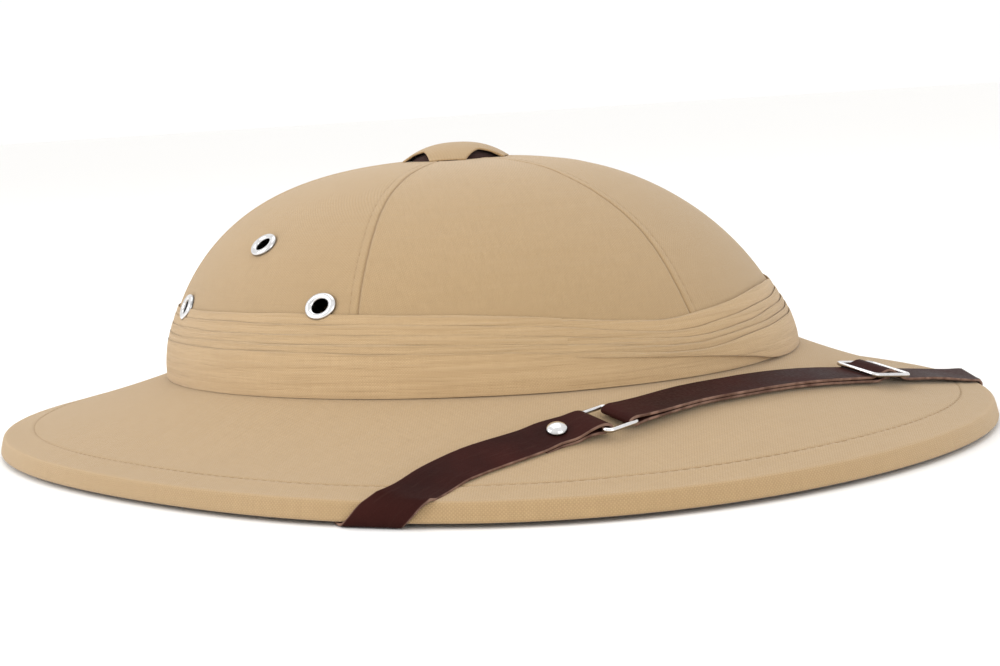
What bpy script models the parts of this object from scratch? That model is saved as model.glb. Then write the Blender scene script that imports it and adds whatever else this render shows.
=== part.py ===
"""Pith helmet with a pleated band, a raised vent cap, eyelets and a chin strap worn over the brim.

Metres, +Z up. The wearer faces -Y, so the wearer's right is -X. The origin is under the middle of the
helmet's length and width, where the strap that passes under the rim rests.
A turn is an angle round the crown in degrees: 0 at the front, 90 at the wearer's right.
"""

import math
from collections import namedtuple

import bmesh
import bpy
from mathutils import Matrix, Vector

# Gaps between touching pieces
SEAT_GAP = 0.0003

# Chin strap
STRAP_WIDTH = 0.0130
STRAP_THICKNESS = 0.0012
BRIM_GAP = 0.00045
STRAP_BED = BRIM_GAP + STRAP_THICKNESS / 2

# Shell: one moulded crown and brim, covered in cloth
SHELL_WALL = 0.003
FOOT_HEIGHT = STRAP_THICKNESS + SEAT_GAP
CROWN_HALF_WIDTH = 0.1045
CROWN_HALF_LENGTH = 0.1205
CROWN_TOP = FOOT_HEIGHT + 0.0937
CROWN_BACK = 0.0115
CROWN_ROUNDING = 2.75
CROWN_DOMING = 1.7
CROWN_LEAN = 0.0100
APEX_BACK = 0.0036
LEAN_RETURN = 10
BASE_MEAN = FOOT_HEIGHT + 0.0232
BASE_FRONT_RISE = 0.0026
BASE_SIDE_RISE = 0.0011
VENT_HALF_WIDTH = 0.0085

# Brim and its turned-down rim
RIM_HALF_WIDTH = 0.1615
RIM_HALF_LENGTH = 0.1800
RIM_BACK = 0.0045
RIM_SQUARING = 0.030
RIM_FRONT_REACH = 0.025
RIDGE_INSET = 0.002
RIDGE_HEIGHT = 0.006
BRIM_DISHING = 0.50
FOOT_WIDTH = 0.0026

# Eyelets, three on each side in a triangle
EYELET_HOLE = 0.0029
EYELET_BARREL = 0.0033
EYELET_FLANGE = 0.0054
EYELET_BACK = 0.0008
EYELET_SPREAD = 21.5
EYELET_LOW = FOOT_HEIGHT + 0.0510
EYELET_HIGH = FOOT_HEIGHT + 0.0705

# Vent cap: a cloth-covered cross of four sloping legs
CAP_REACH = 0.0187
CAP_LEG_WIDTH = 0.0156
CAP_RISE = 0.0064
CAP_WALL = 0.0018
CAP_TURN = 38.0

# Ring, slide and stud of the strap, placed by their distance along it from the right rim
RING_AT = 0.0700
RING_SPAN = 0.0113
RING_WIRE = 0.0009
RING_CLEAR = 0.0006
SLIDE_AT = 0.1870
SLIDE_SPAN = 0.0130
SLIDE_BAR = 0.0007
SLIDE_SKEW = 6.0
SLIDE_CLEAR = 0.0012
BEND_RADIUS = 0.0018
STUD_AT = 0.0550
STUD_RADIUS = 0.0037
STUD_RISE = 0.0019
STUD_SHANK = 0.0012
TAIL_END = 0.0460
RIVET_RADIUS = 0.0034
RIVET_SHANK = 0.0011
RIVET_DEPTH = 0.0018
RIVET_BACK = 0.0065

# How finely the forms are divided
ROUND_STEPS = 60
SMALL_STEPS = 12
ROUTE_STEPS = 50
UNDER_STEPS = 14

# Pleats of the band from the bottom up: height of the fold's upper edge over the crown's base at the
# sides and at the front centre, and how far the cloth stands off the crown there
Pleat = namedtuple("Pleat", "side front stand_off")
WIDE_FOLD = Pleat(0.0146, 0.0075, 0.0031)
PLEATS = (
    WIDE_FOLD,
    Pleat(0.0178, 0.0105, 0.0026),
    Pleat(0.0204, 0.0130, 0.0023),
    Pleat(0.0226, 0.0150, 0.0020),
    Pleat(0.0243, 0.0168, 0.0017),
    Pleat(0.0258, 0.0182, 0.0014),
)
PLEAT_STEP = 0.0005
PLEAT_DIP_WIDTH = 34.0

# Strap over the brim: turn, share of the way from crown to rim, roll that lifts the inner edge,
# and skew that carries the outer edge towards the wearer's left
Route = namedtuple("Route", "turn out roll skew")
OVER_BRIM = (
    Route(52, 1.05, 8, 42),
    Route(50, 0.966, 9, 40),
    Route(43, 0.667, 13, 20),
    Route(35, 0.430, 0, 4),
    Route(29, 0.346, 0, 0),
    Route(25, 0.278, 0, 0),
    Route(12, 0.197, 0, 0),
    Route(0, 0.193, 0, 0),
    Route(-12, 0.261, 0, 2),
    Route(-25, 0.401, 0, SLIDE_SKEW),
    Route(-31, 0.491, 0, SLIDE_SKEW),
    Route(-37, 0.605, 2, -4),
    Route(-43, 0.796, 5, -22),
    Route(-48, 0.974, 5, -40),
    Route(-50, 1.05, 5, -42),
)
RIGHT_RIM_TURN = 50.9
LEFT_RIM_TURN = -48.7
RIM_CROSSING_ANGLE = 48.0

# Strap round the rim: distance it runs along the rim, inset from the rim's outline, height over its foot
Wrap = namedtuple("Wrap", "along inset height")
ROUND_RIM = (
    Wrap(0.0020, 0.0009, 0.0067),
    Wrap(0.0042, -0.0005, 0.0046),
    Wrap(0.0064, -0.0010, 0.0022),
    Wrap(0.0080, -0.0010, 0.0004),
    Wrap(0.0094, -0.0005, -0.0008),
    Wrap(0.0106, 0.0008, -0.0009),
    Wrap(0.0118, 0.0022, -0.0009),
    Wrap(0.0132, 0.0038, -0.0005),
    Wrap(0.0156, 0.0068, 0.0009),
)
# Strap under the brim: turn past the rim's crossing, share of the way out, skew of its cross-section
Under = namedtuple("Under", "past out skew")
UNDER_BRIM = (
    Under(6.7, 0.825, 52),
    Under(10.6, 0.66, 28),
    Under(15.6, 0.50, 8),
    Under(20.6, 0.36, 0),
    Under(25.6, 0.25, 0),
    Under(30.6, 0.165, 0),
    Under(34.6, 0.115, 0),
)

# Height of the strap's middle over the brim against distance from the right rim
Lift = namedtuple("Lift", "at height")
LAYER = STRAP_THICKNESS + SEAT_GAP * 1.4
UPPER_LIFT = STRAP_BED + LAYER
FOLD_RADIUS = RING_WIRE + SEAT_GAP + STRAP_THICKNESS / 2
RING_LIFT = STRAP_BED + FOLD_RADIUS
BAR_WRAP = SLIDE_BAR + SEAT_GAP + STRAP_THICKNESS / 2
BAR_LIFT = UPPER_LIFT + BAR_WRAP
HUMP_LIFT = BAR_LIFT + BAR_WRAP
OUTER_BAR = SLIDE_SPAN / 2
RIGHT_BAR = RING_AT - RING_SPAN / 2
LEFT_BAR = RING_AT + RING_SPAN / 2
RIGHT_LIFTS = (
    Lift(0.000, 0.0021),
    Lift(0.012, 0.0027),
    Lift(0.026, 0.0030),
    Lift(0.044, 0.0032),
    Lift(STUD_AT - 0.0042, UPPER_LIFT + 0.0001),
    Lift(STUD_AT + 0.0042, UPPER_LIFT + 0.0004),
    Lift(RIGHT_BAR - 0.002, RING_LIFT + 0.0013),
    Lift(RIGHT_BAR, RING_LIFT + FOLD_RADIUS),
)
LEFT_LIFTS = (
    Lift(LEFT_BAR, RING_LIFT + FOLD_RADIUS),
    Lift(LEFT_BAR + 0.002, RING_LIFT + 0.0015),
    Lift(LEFT_BAR + 0.014, UPPER_LIFT + 0.0001),
    Lift(SLIDE_AT - OUTER_BAR - 0.004, UPPER_LIFT),
    Lift(SLIDE_AT - OUTER_BAR + 0.0004, UPPER_LIFT),
    Lift(SLIDE_AT - 0.0009, HUMP_LIFT - 0.0002),
    Lift(SLIDE_AT + 0.0009, HUMP_LIFT - 0.0002),
    Lift(SLIDE_AT + OUTER_BAR - 0.0004, UPPER_LIFT),
    Lift(SLIDE_AT + OUTER_BAR + 0.004, UPPER_LIFT - 0.0004),
    Lift(SLIDE_AT + 0.030, 0.0018),
    Lift(0.260, 0.0017),
)


# Materials

Finish = namedtuple("Finish", "colour roughness metallic")
FINISHES = {
    "khaki_cloth": Finish((0.56, 0.41, 0.24), 0.85, 0.0),
    "band_cloth": Finish((0.58, 0.43, 0.26), 0.85, 0.0),
    "brown_leather": Finish((0.055, 0.020, 0.018), 0.45, 0.0),
    "chrome": Finish((0.80, 0.80, 0.82), 0.15, 1.0),
}


def material(name):
    """The named finish as a Principled material."""
    found = bpy.data.materials.get(name)
    if found:
        return found
    finish = FINISHES[name]
    made = bpy.data.materials.new(name)
    made.use_nodes = True
    shader = made.node_tree.nodes["Principled BSDF"]
    shader.inputs["Base Color"].default_value = (*finish.colour, 1)
    shader.inputs["Roughness"].default_value = finish.roughness
    shader.inputs["Metallic"].default_value = finish.metallic
    made.diffuse_color = (*finish.colour, 1)
    return made


# Form of the shell

def lerp(a, b, share):
    """The value a share of the way from a to b."""
    return a + (b - a) * share


def base_height(turn):
    """Height of the line where the crown meets the brim."""
    a = math.radians(turn)
    return BASE_MEAN + BASE_FRONT_RISE * math.cos(a) - BASE_SIDE_RISE * math.cos(2 * a)


def crown_point(turn, up):
    """A point on the crown: up is 0 at its base and 1 at its top."""
    a = math.radians(turn)
    girth = max(1 - up ** CROWN_DOMING, 0) ** (1 / CROWN_ROUNDING)
    back = CROWN_BACK + CROWN_LEAN * up - (CROWN_LEAN - APEX_BACK) * up ** LEAN_RETURN
    return Vector((
        -CROWN_HALF_WIDTH * girth * math.sin(a),
        -CROWN_HALF_LENGTH * girth * math.cos(a) + back,
        lerp(base_height(turn), CROWN_TOP, up),
    ))


def crown_up(girth):
    """The share of the crown's height at which it has the given share of its full girth."""
    return (1 - girth ** CROWN_ROUNDING) ** (1 / CROWN_DOMING)


def rim_point(turn, inset, height):
    """A point by the rim: inset from its outline, at a height over its foot."""
    a = math.radians(turn)
    reach = 1 - RIM_SQUARING * math.cos(4 * a) + RIM_FRONT_REACH * math.cos(3 * a)
    return Vector((
        -(RIM_HALF_WIDTH * reach - inset) * math.sin(a),
        -(RIM_HALF_LENGTH * reach - inset) * math.cos(a) + RIM_BACK,
        FOOT_HEIGHT + height,
    ))


def brim_point(turn, out):
    """A point on the brim's upper face: out is 0 at the crown and 1 at the ridge of the rim."""
    inner, outer = crown_point(turn, 0), rim_point(turn, RIDGE_INSET, RIDGE_HEIGHT)
    place = inner.lerp(outer, out)
    place.z = lerp(inner.z, outer.z, out + BRIM_DISHING * out * (1 - out))
    return place


def outward(surface, turn, across):
    """Unit vector out of the shell at a point of crown_point or brim_point."""
    step = 0.001
    round_it = surface(turn + 0.5, across) - surface(turn - 0.5, across)
    over_it = surface(turn, across + step) - surface(turn, max(across - step, 0))
    normal = over_it.cross(round_it).normalized()
    hub = Vector((0, CROWN_BACK, BASE_MEAN - 0.2))
    return normal if normal.dot(surface(turn, across) - hub) > 0 else -normal


def off_crown(turn, height, stand_off):
    """A point over the crown, by height above its base and distance out of its surface."""
    up = height / (CROWN_TOP - base_height(turn))
    return crown_point(turn, up) + outward(crown_point, turn, up) * stand_off


def rim_tangent(turn):
    """Level unit vector along the rim, towards greater turns."""
    return (rim_point(turn + 0.5, 0, 0) - rim_point(turn - 0.5, 0, 0)).normalized()


# Mesh helpers

def finish_object(name, bm, finish, sharp=50):
    """Turn a bmesh into a named, shaded object."""
    bmesh.ops.recalc_face_normals(bm, faces=bm.faces)
    mesh = bpy.data.meshes.new(name)
    bm.to_mesh(mesh)
    bm.free()
    mesh.materials.append(material(finish))
    mesh.shade_smooth()
    mesh.set_sharp_from_angle(angle=math.radians(sharp))
    obj = bpy.data.objects.new(name, mesh)
    bpy.context.scene.collection.objects.link(obj)
    return obj


def skin_rings(bm, rings, close_skin=True):
    """Bridge closed rings of points with quads; close_skin joins the last ring to the first."""
    rows = [[bm.verts.new(point) for point in ring] for ring in rings]
    following = rows[1:] + rows[:1] if close_skin else rows[1:]
    for low, high in zip(rows, following):
        for i in range(len(low)):
            j = (i + 1) % len(low)
            bm.faces.new((low[i], low[j], high[j], high[i]))
    return rows


def cap_ends(bm, rows):
    """Close a skin of rings with one face at each end."""
    bm.faces.new(rows[0][::-1])
    bm.faces.new(rows[-1])


def stand(origin, normal, toward=None):
    """Frame with its Z along the normal and its X level, or as near as it can be to toward."""
    z = normal.normalized()
    if toward is None:
        toward = Vector((0, 0, 1)).cross(z)
    x = (toward - z * toward.dot(z)).normalized()
    y = z.cross(x)
    return Matrix.Translation(origin) @ Matrix((x, y, z)).transposed().to_4x4()


def turned(bm, frame, profile, steps=SMALL_STEPS):
    """Turn a closed outline of (radius, height) round the frame's Z."""
    rings = []
    for i in range(steps):
        a = math.tau * i / steps
        rings.append([frame @ Vector((r * math.cos(a), r * math.sin(a), z)) for r, z in profile])
    return skin_rings(bm, rings)


def turned_solid(bm, frame, profile, steps=SMALL_STEPS):
    """Turn an open outline of (radius, height) round the frame's Z and close both ends."""
    rings = []
    for r, z in profile:
        angles = [math.tau * i / steps for i in range(steps)]
        rings.append([frame @ Vector((r * math.cos(a), r * math.sin(a), z)) for a in angles])
    cap_ends(bm, skin_rings(bm, rings, close_skin=False))


def drill(obj, frame, radius, low, high):
    """Cut a round hole through an object along the frame's Z."""
    bm = bmesh.new()
    turned_solid(bm, frame, ((radius, low), (radius, high)))
    cutter = finish_object(obj.name + "_hole_cutter", bm, "chrome")
    cutter.hide_render = True
    cutter.display_type = "WIRE"
    cut = obj.modifiers.new("hole", "BOOLEAN")
    cut.operation = "DIFFERENCE"
    cut.solver = "EXACT"
    cut.object = cutter


# Shell

CROWN_GIRTHS = (0.22, 0.36, 0.50, 0.62, 0.73, 0.82, 0.89, 0.94, 0.985)
BRIM_SHARES = (0.13, 0.28, 0.46, 0.67, 0.90)
RIM_SECTION = ((0.0010, 0.0050), (0.0003, 0.0030), (0.0, 0.0006), (0.0004, 0.0))
RIM_INSIDE = ((0.0034, 0.0016), (0.0041, 0.0030))


def shell_section(turn):
    """The shell's section at a turn, from the vent down the outside and back up the inside."""
    vent = VENT_HALF_WIDTH / CROWN_HALF_WIDTH
    crown_ups = [crown_up(g) for g in (vent, *CROWN_GIRTHS)]
    outer = [crown_point(turn, up) for up in crown_ups]
    outer.append(crown_point(turn, 0))
    outer += [brim_point(turn, s) for s in BRIM_SHARES]
    outer.append(rim_point(turn, RIDGE_INSET, RIDGE_HEIGHT))
    outer += [rim_point(turn, inset, height) for inset, height in RIM_SECTION]
    inner = [rim_point(turn, FOOT_WIDTH, 0)]
    inner += [rim_point(turn, inset, height) for inset, height in RIM_INSIDE]
    for s in reversed(BRIM_SHARES):
        inner.append(brim_point(turn, s) - outward(brim_point, turn, s) * SHELL_WALL)
    inner.append(inner_corner(turn))
    for up in reversed(crown_ups):
        inner.append(crown_point(turn, up) - outward(crown_point, turn, up) * SHELL_WALL)
    return outer + inner


def inner_corner(turn):
    """Where the inside of the crown meets the underside of the brim."""
    wall = outward(crown_point, turn, 0.002)
    level = Vector((wall.x, wall.y, 0)).normalized()
    fall = brim_point(turn, 0) - brim_point(turn, 0.02)
    slope = fall.z / Vector((fall.x, fall.y)).length
    corner = crown_point(turn, 0) - level * SHELL_WALL
    corner.z += SHELL_WALL * slope - SHELL_WALL * math.sqrt(1 + slope * slope)
    return corner


def eyelet_frames():
    """Name and seat of each eyelet."""
    frames = []
    for side, middle in (("right", 90), ("left", -90)):
        sign = 1 if middle > 0 else -1
        for place, shift, height in (
            ("front", -EYELET_SPREAD, EYELET_LOW),
            ("top", 0, EYELET_HIGH),
            ("back", EYELET_SPREAD, EYELET_LOW),
        ):
            turn = middle + sign * shift
            up = (height - base_height(turn)) / (CROWN_TOP - base_height(turn))
            seat = stand(crown_point(turn, up), outward(crown_point, turn, up))
            frames.append((f"eyelet_{side}_{place}", seat))
    return frames


def build_shell():
    """The moulded crown and brim with their cloth cover, drilled for eyelets and strap rivets."""
    bm = bmesh.new()
    sections = [shell_section(360 * i / ROUND_STEPS) for i in range(ROUND_STEPS)]
    skin_rings(bm, sections)
    shell = finish_object("helmet_shell", bm, "khaki_cloth", sharp=40)
    through = 2 * SHELL_WALL
    for _, seat in eyelet_frames():
        drill(shell, seat, EYELET_BARREL + SEAT_GAP, -through, through / 2)
    for side in (1, -1):
        drill(shell, rivet_frame(side), RIVET_SHANK + SEAT_GAP, -RIVET_DEPTH - SEAT_GAP, SHELL_WALL)
    return shell


# Pleated band

def dip(turn):
    """1 at the front centre of the band, falling to 0 at the sides."""
    away = ((turn + 180) % 360 - 180) / PLEAT_DIP_WIDTH
    return math.exp(-away * away)


def pleat_height(pleat, turn):
    """Height of a fold's upper edge over the crown's base."""
    return lerp(pleat.side, pleat.front, dip(turn))


def foot_of_band(turn, stand_off):
    """A point just over the brim, by its distance out from the foot of the crown."""
    inner, outer = brim_point(turn, 0), brim_point(turn, BRIM_SHARES[0])
    width = Vector((outer.x - inner.x, outer.y - inner.y)).length
    return inner.lerp(outer, stand_off / width) + Vector((0, 0, SEAT_GAP * 1.3))


def band_section(turn):
    """The band's section at a turn: up its outside, fold by fold, and down its inside."""
    wide = pleat_height(WIDE_FOLD, turn)
    points = [
        foot_of_band(turn, WIDE_FOLD.stand_off - PLEAT_STEP),
        off_crown(turn, wide * 0.25, WIDE_FOLD.stand_off),
    ]
    for pleat in PLEATS:
        edge = pleat_height(pleat, turn)
        points.append(off_crown(turn, edge - PLEAT_STEP * 0.5, pleat.stand_off))
        points.append(off_crown(turn, edge, pleat.stand_off - PLEAT_STEP))
    top = pleat_height(PLEATS[-1], turn)
    points.append(off_crown(turn, top - PLEAT_STEP, SEAT_GAP))
    for girth in CROWN_GIRTHS[-2:]:
        height = crown_up(girth) * (CROWN_TOP - base_height(turn))
        points.append(off_crown(turn, min(height, top * 0.85), SEAT_GAP))
    points.append(off_crown(turn, SEAT_GAP * 1.5, SEAT_GAP))
    return points


def build_band():
    """The pleated cloth band round the crown, notched where the low eyelets overlap it."""
    turns = [360 * i / ROUND_STEPS for i in range(ROUND_STEPS)]
    bm = bmesh.new()
    skin_rings(bm, [band_section(turn) for turn in turns])
    band = finish_object("pleated_band", bm, "band_cloth", sharp=30)
    for name, seat in eyelet_frames():
        if not name.endswith("top"):
            drill(band, seat, EYELET_FLANGE + SEAT_GAP, -SHELL_WALL, SHELL_WALL * 2)
    return band


# Vent cap

def cap_top(u, v):
    """Height of the cap's upper face over its feet, for a place along its two pairs of legs."""
    reach = (u ** 4 + v ** 4) ** 0.25 / CAP_REACH
    return CAP_RISE * (1 - reach ** 1.7)


def build_cap():
    """The cross-shaped cap whose four legs stand over the vent."""
    half = CAP_LEG_WIDTH / 2
    arm = [lerp(half, CAP_REACH, share) for share in (0.33, 0.67, 1)]
    marks = [-m for m in reversed(arm)] + [-half, -half / 2, 0, half / 2, half] + arm
    seat = crown_point(0, 1)
    seat.z = crown_point(0, crown_up((CAP_REACH - CAP_WALL) / CROWN_HALF_WIDTH)).z + SEAT_GAP
    frame = Matrix.Translation(seat) @ Matrix.Rotation(math.radians(90 - CAP_TURN), 4, "Z")
    bm = bmesh.new()
    upper, lower = {}, {}
    for i, u in enumerate(marks):
        for j, v in enumerate(marks):
            if min(abs(u), abs(v)) > half + 1e-6:
                continue
            z = cap_top(u, v)
            upper[i, j] = bm.verts.new(frame @ Vector((u, v, z + CAP_WALL / 2)))
            lower[i, j] = bm.verts.new(frame @ Vector((u, v, max(z - CAP_WALL / 2, 0))))
    edges = set()
    for i in range(len(marks) - 1):
        for j in range(len(marks) - 1):
            corners = ((i, j), (i + 1, j), (i + 1, j + 1), (i, j + 1))
            if not all(c in upper for c in corners):
                continue
            bm.faces.new([upper[c] for c in corners])
            bm.faces.new([lower[c] for c in reversed(corners)])
            edges.update(zip(corners, corners[1:] + corners[:1]))
    for a, b in sorted(edges):
        if (b, a) not in edges:
            bm.faces.new((upper[b], upper[a], lower[a], lower[b]))
    return finish_object("vent_cap", bm, "khaki_cloth", sharp=40)


# Eyelets

def build_eyelet(name, seat):
    """A domed flange outside, a barrel through the wall and a rolled edge inside."""
    lift, back = SEAT_GAP, -SHELL_WALL - EYELET_BACK
    profile = (
        (EYELET_HOLE, 0.0008),
        (0.0037, 0.0013),
        (0.0047, 0.0011),
        (EYELET_FLANGE, lift),
        (EYELET_BARREL, lift),
        (EYELET_BARREL, back),
        (0.0044, back),
        (0.0038, back - 0.0007),
        (EYELET_HOLE, back - 0.0004),
    )
    bm = bmesh.new()
    turned(bm, seat, profile)
    return finish_object(name, bm, "chrome", sharp=35)


# Route of the strap

def smooth(rows, at):
    """Read a table at a place in its first column, by a smooth curve through its rows."""
    rows = rows if rows[0][0] < rows[-1][0] else rows[::-1]
    i = max(k for k in range(len(rows) - 1) if k == 0 or rows[k][0] <= at)
    low, high = rows[i], rows[i + 1]
    before, after = rows[max(i - 1, 0)], rows[min(i + 2, len(rows) - 1)]
    span = high[0] - low[0]
    f = (at - low[0]) / span
    values = []
    for k in range(1, len(low)):
        start = (high[k] - before[k]) / (high[0] - before[0]) * span
        end = (after[k] - low[k]) / (after[0] - low[0]) * span
        rise = high[k] - low[k]
        if rise * start <= 0:
            start = 0
        if rise * end <= 0:
            end = 0
        square = 3 * rise - 2 * start - end
        cube = start + end - 2 * rise
        values.append(low[k] + start * f + square * f ** 2 + cube * f ** 3)
    return values


def trace_route():
    """Turns along the route over the brim, each with its distance from the right rim."""
    turns = [lerp(RIGHT_RIM_TURN, LEFT_RIM_TURN, i / ROUTE_STEPS) for i in range(ROUTE_STEPS + 1)]
    places = [brim_point(turn, smooth(OVER_BRIM, turn)[0]) for turn in turns]
    traced, length = [(0.0, turns[0])], 0.0
    for turn, place, last in zip(turns[1:], places[1:], places):
        length += (place - last).length
        traced.append((length, turn))
    return traced


TRACED = trace_route()
ROUTE_LENGTH = TRACED[-1][0]


def route_axes(at):
    """Point of the brim under the strap's middle, the way along it, the brim's normal, roll and skew."""
    turn = smooth(TRACED, min(max(at, 0), ROUTE_LENGTH))[0]
    out, roll, skew = smooth(OVER_BRIM, turn)
    here = brim_point(turn, out)
    ahead = brim_point(turn - 1, smooth(OVER_BRIM, turn - 1)[0])
    behind = brim_point(turn + 1, smooth(OVER_BRIM, turn + 1)[0])
    return here, (ahead - behind).normalized(), outward(brim_point, turn, out), roll, skew


def skewed(along, normal, roll, skew):
    """Direction across the strap towards the crown, skewed in its plane and rolled about its length."""
    skew, roll = math.radians(skew), math.radians(roll)
    inward = normal.cross(along).normalized()
    across = inward * math.cos(skew) - along * math.sin(skew)
    return across * math.cos(roll) + normal * math.sin(roll)


def route_frame(at, lift, flat=False):
    """Middle, inward cross direction, half width, face normal and length direction over the brim."""
    here, along, normal, roll, skew = route_axes(at)
    roll = 0 if flat else roll
    across = skewed(along, normal, roll, skew)
    for buckle, span in ((RING_AT, RING_SPAN), (SLIDE_AT, SLIDE_SPAN)):
        share = min(max(2.2 - 2 * abs(at - buckle) / span, 0), 1)
        if share > 0:
            across = across.lerp(skewed(*route_axes(buckle)[1:]), share).normalized()
    half = STRAP_WIDTH / 2 / along.cross(across).length
    return here + normal * lift, across, half, normal, along


def over_brim(start, end, lifts, step=0.005, flat=False):
    """Stations of one layer of the strap between two distances from the right rim."""
    low, high = min(start, end), max(start, end)
    marks = [low, high] + [row.at for row in lifts if low < row.at < high]
    count = round((high - low) / step)
    for i in range(1, count):
        at = lerp(low, high, i / count)
        if min(abs(at - m) for m in marks) > 0.0018:
            marks.append(at)
    marks.sort(reverse=end < start)
    return [route_frame(at, smooth(lifts, at)[0], flat)[:3] for at in marks]


def fold_round(bar, way):
    """Stations of the fold round a ring bar; way is +1 where the fold bulges to the wearer's left."""
    stations = []
    for k in range(1, 6):
        a = math.radians(90 - 30 * k)
        middle, across, half, normal, along = route_frame(bar, RING_LIFT + FOLD_RADIUS * math.sin(a))
        stations.append((middle + along * (way * FOLD_RADIUS * math.cos(a)), across, half))
    return stations


def round_rim(side):
    """Stations of the strap from the ridge of the rim to its anchor under the brim."""
    crossing = RIGHT_RIM_TURN if side > 0 else -LEFT_RIM_TURN
    degree = (rim_point(side * crossing, 0, 0) - rim_point(side * (crossing + 1), 0, 0)).length
    stations = []
    half = STRAP_WIDTH / 2 / math.sin(math.radians(RIM_CROSSING_ANGLE))
    for row in ROUND_RIM:
        turn = side * (crossing + row.along / degree)
        stations.append((rim_point(turn, row.inset, row.height), rim_tangent(turn) * side, half))
    for i in range(UNDER_STEPS + 1):
        past = lerp(UNDER_BRIM[0].past, UNDER_BRIM[-1].past, i / UNDER_STEPS)
        stations.append(under_frame(side, past)[:3])
    return stations


def under_frame(side, past):
    """Middle, outward cross direction, half width and face normal of the strap under the brim."""
    crossing = RIGHT_RIM_TURN if side > 0 else -LEFT_RIM_TURN
    out, skew = smooth(UNDER_BRIM, past)
    ahead_out = smooth(UNDER_BRIM, past + 0.3)[0]
    turn = side * (crossing + past)
    normal = -outward(brim_point, turn, out)
    drop = SHELL_WALL + STRAP_BED + SEAT_GAP
    here = brim_point(turn, out) + normal * drop
    ahead = brim_point(turn + side * 0.3, ahead_out) + normal * drop
    along = (ahead - here).normalized()
    outside = along.cross(normal).normalized() * side
    skew = math.radians(skew)
    across = outside * math.cos(skew) + along * math.sin(skew)
    return here, across, STRAP_WIDTH / 2 / math.cos(skew), normal


def rivet_frame(side):
    """Seat of a strap rivet on the strap's face under the brim, its Z pointing away from the brim."""
    past = UNDER_BRIM[-1].past - math.degrees(RIVET_BACK / CROWN_HALF_LENGTH)
    middle, _, _, normal = under_frame(side, past)
    on_brim = middle - normal * (STRAP_BED + SEAT_GAP)
    return stand(on_brim, normal)


# Strap

def ribbon(name, stations):
    """A flat band of leather through stations of middle, cross direction and half width."""
    bm = bmesh.new()
    rows = []
    for i, (middle, across, half) in enumerate(stations):
        before = stations[max(i - 1, 0)][0]
        after = stations[min(i + 1, len(stations) - 1)][0]
        face = (after - before).normalized().cross(across).normalized() * (STRAP_THICKNESS / 2)
        edge = across * half
        corners = (middle + edge + face, middle - edge + face, middle - edge - face, middle + edge - face)
        rows.append([bm.verts.new(corner) for corner in corners])
    for (a, b, c, d), (a2, b2, c2, d2) in zip(rows, rows[1:]):
        for corners in ((a, b, b2), (a, b2, a2), (c, d, c2), (d, d2, c2), (b, c, c2, b2), (d, a, a2, d2)):
            bm.faces.new(corners)
    cap_ends(bm, rows)
    return finish_object(name, bm, "brown_leather", sharp=40)


def build_right_strap():
    """From the right anchor round the rim to the ring, folded back and held by the stud."""
    stations = round_rim(1)[::-1]
    stations += over_brim(0, RIGHT_BAR, RIGHT_LIFTS)
    stations += fold_round(RIGHT_BAR, 1)
    tail = (Lift(TAIL_END, STRAP_BED + 0.0001), Lift(RIGHT_BAR, STRAP_BED))
    stations += over_brim(RIGHT_BAR, TAIL_END, tail, flat=True)
    strap = ribbon("strap_right", stations)
    drill(strap, stud_frame(), STUD_SHANK + SEAT_GAP, -UPPER_LIFT - LAYER, UPPER_LIFT)
    drill(strap, rivet_frame(1), RIVET_SHANK + SEAT_GAP, -SEAT_GAP, UPPER_LIFT)
    return strap


def build_left_strap():
    """From the left anchor through the slide to the ring, folded and run back to the slide's middle bar."""
    stations = round_rim(-1)[::-1]
    stations += over_brim(ROUTE_LENGTH, LEFT_BAR, LEFT_LIFTS, step=0.006)
    stations += fold_round(LEFT_BAR, -1)
    under_bar = BAR_LIFT - SLIDE_BAR - STRAP_BED
    back = (
        Lift(LEFT_BAR, STRAP_BED),
        Lift(SLIDE_AT - 0.0050, STRAP_BED),
        Lift(SLIDE_AT - 0.0010, under_bar),
        Lift(SLIDE_AT + 0.0010, under_bar),
    )
    stations += over_brim(LEFT_BAR, SLIDE_AT + 0.0010, back, step=0.006, flat=True)
    strap = ribbon("strap_left", stations)
    drill(strap, rivet_frame(-1), RIVET_SHANK + SEAT_GAP, -SEAT_GAP, UPPER_LIFT)
    return strap


# Ring, slide, stud and rivets

def bent_wire(bm, corners, corner_radius, wire, frame, sides=8):
    """A closed wire through rounded corners, lying in the frame's XY plane."""
    path = []
    for i, corner in enumerate(corners):
        to_last = (corners[i - 1] - corner).normalized()
        to_next = (corners[(i + 1) % len(corners)] - corner).normalized()
        start, end = corner + to_last * corner_radius, corner + to_next * corner_radius
        for f in (0, 0.25, 0.5, 0.75, 1):
            path.append(start.lerp(corner, f).lerp(corner.lerp(end, f), f))
    rings = []
    for i, place in enumerate(path):
        along = (path[(i + 1) % len(path)] - path[i - 1]).normalized()
        aside = along.cross(Vector((0, 0, 1)))
        ring = []
        for k in range(sides):
            a = math.tau * k / sides
            ring.append(frame @ (place + (aside * math.cos(a) + Vector((0, 0, 1)) * math.sin(a)) * wire))
        rings.append(ring)
    skin_rings(bm, rings)


def buckle_frame(at, lift):
    """Frame of a buckle on the strap: X along its bars, Z off the brim."""
    middle, across, _, normal, _ = route_frame(at, lift)
    return stand(middle, normal, across)


def frame_corners(half_width, span):
    """Corners of a buckle's outer wire, by its half width along the bars and the span between them."""
    signs = ((-1, -1), (1, -1), (1, 1), (-1, 1))
    return [Vector((x * half_width, y * span / 2, 0)) for x, y in signs]


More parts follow.
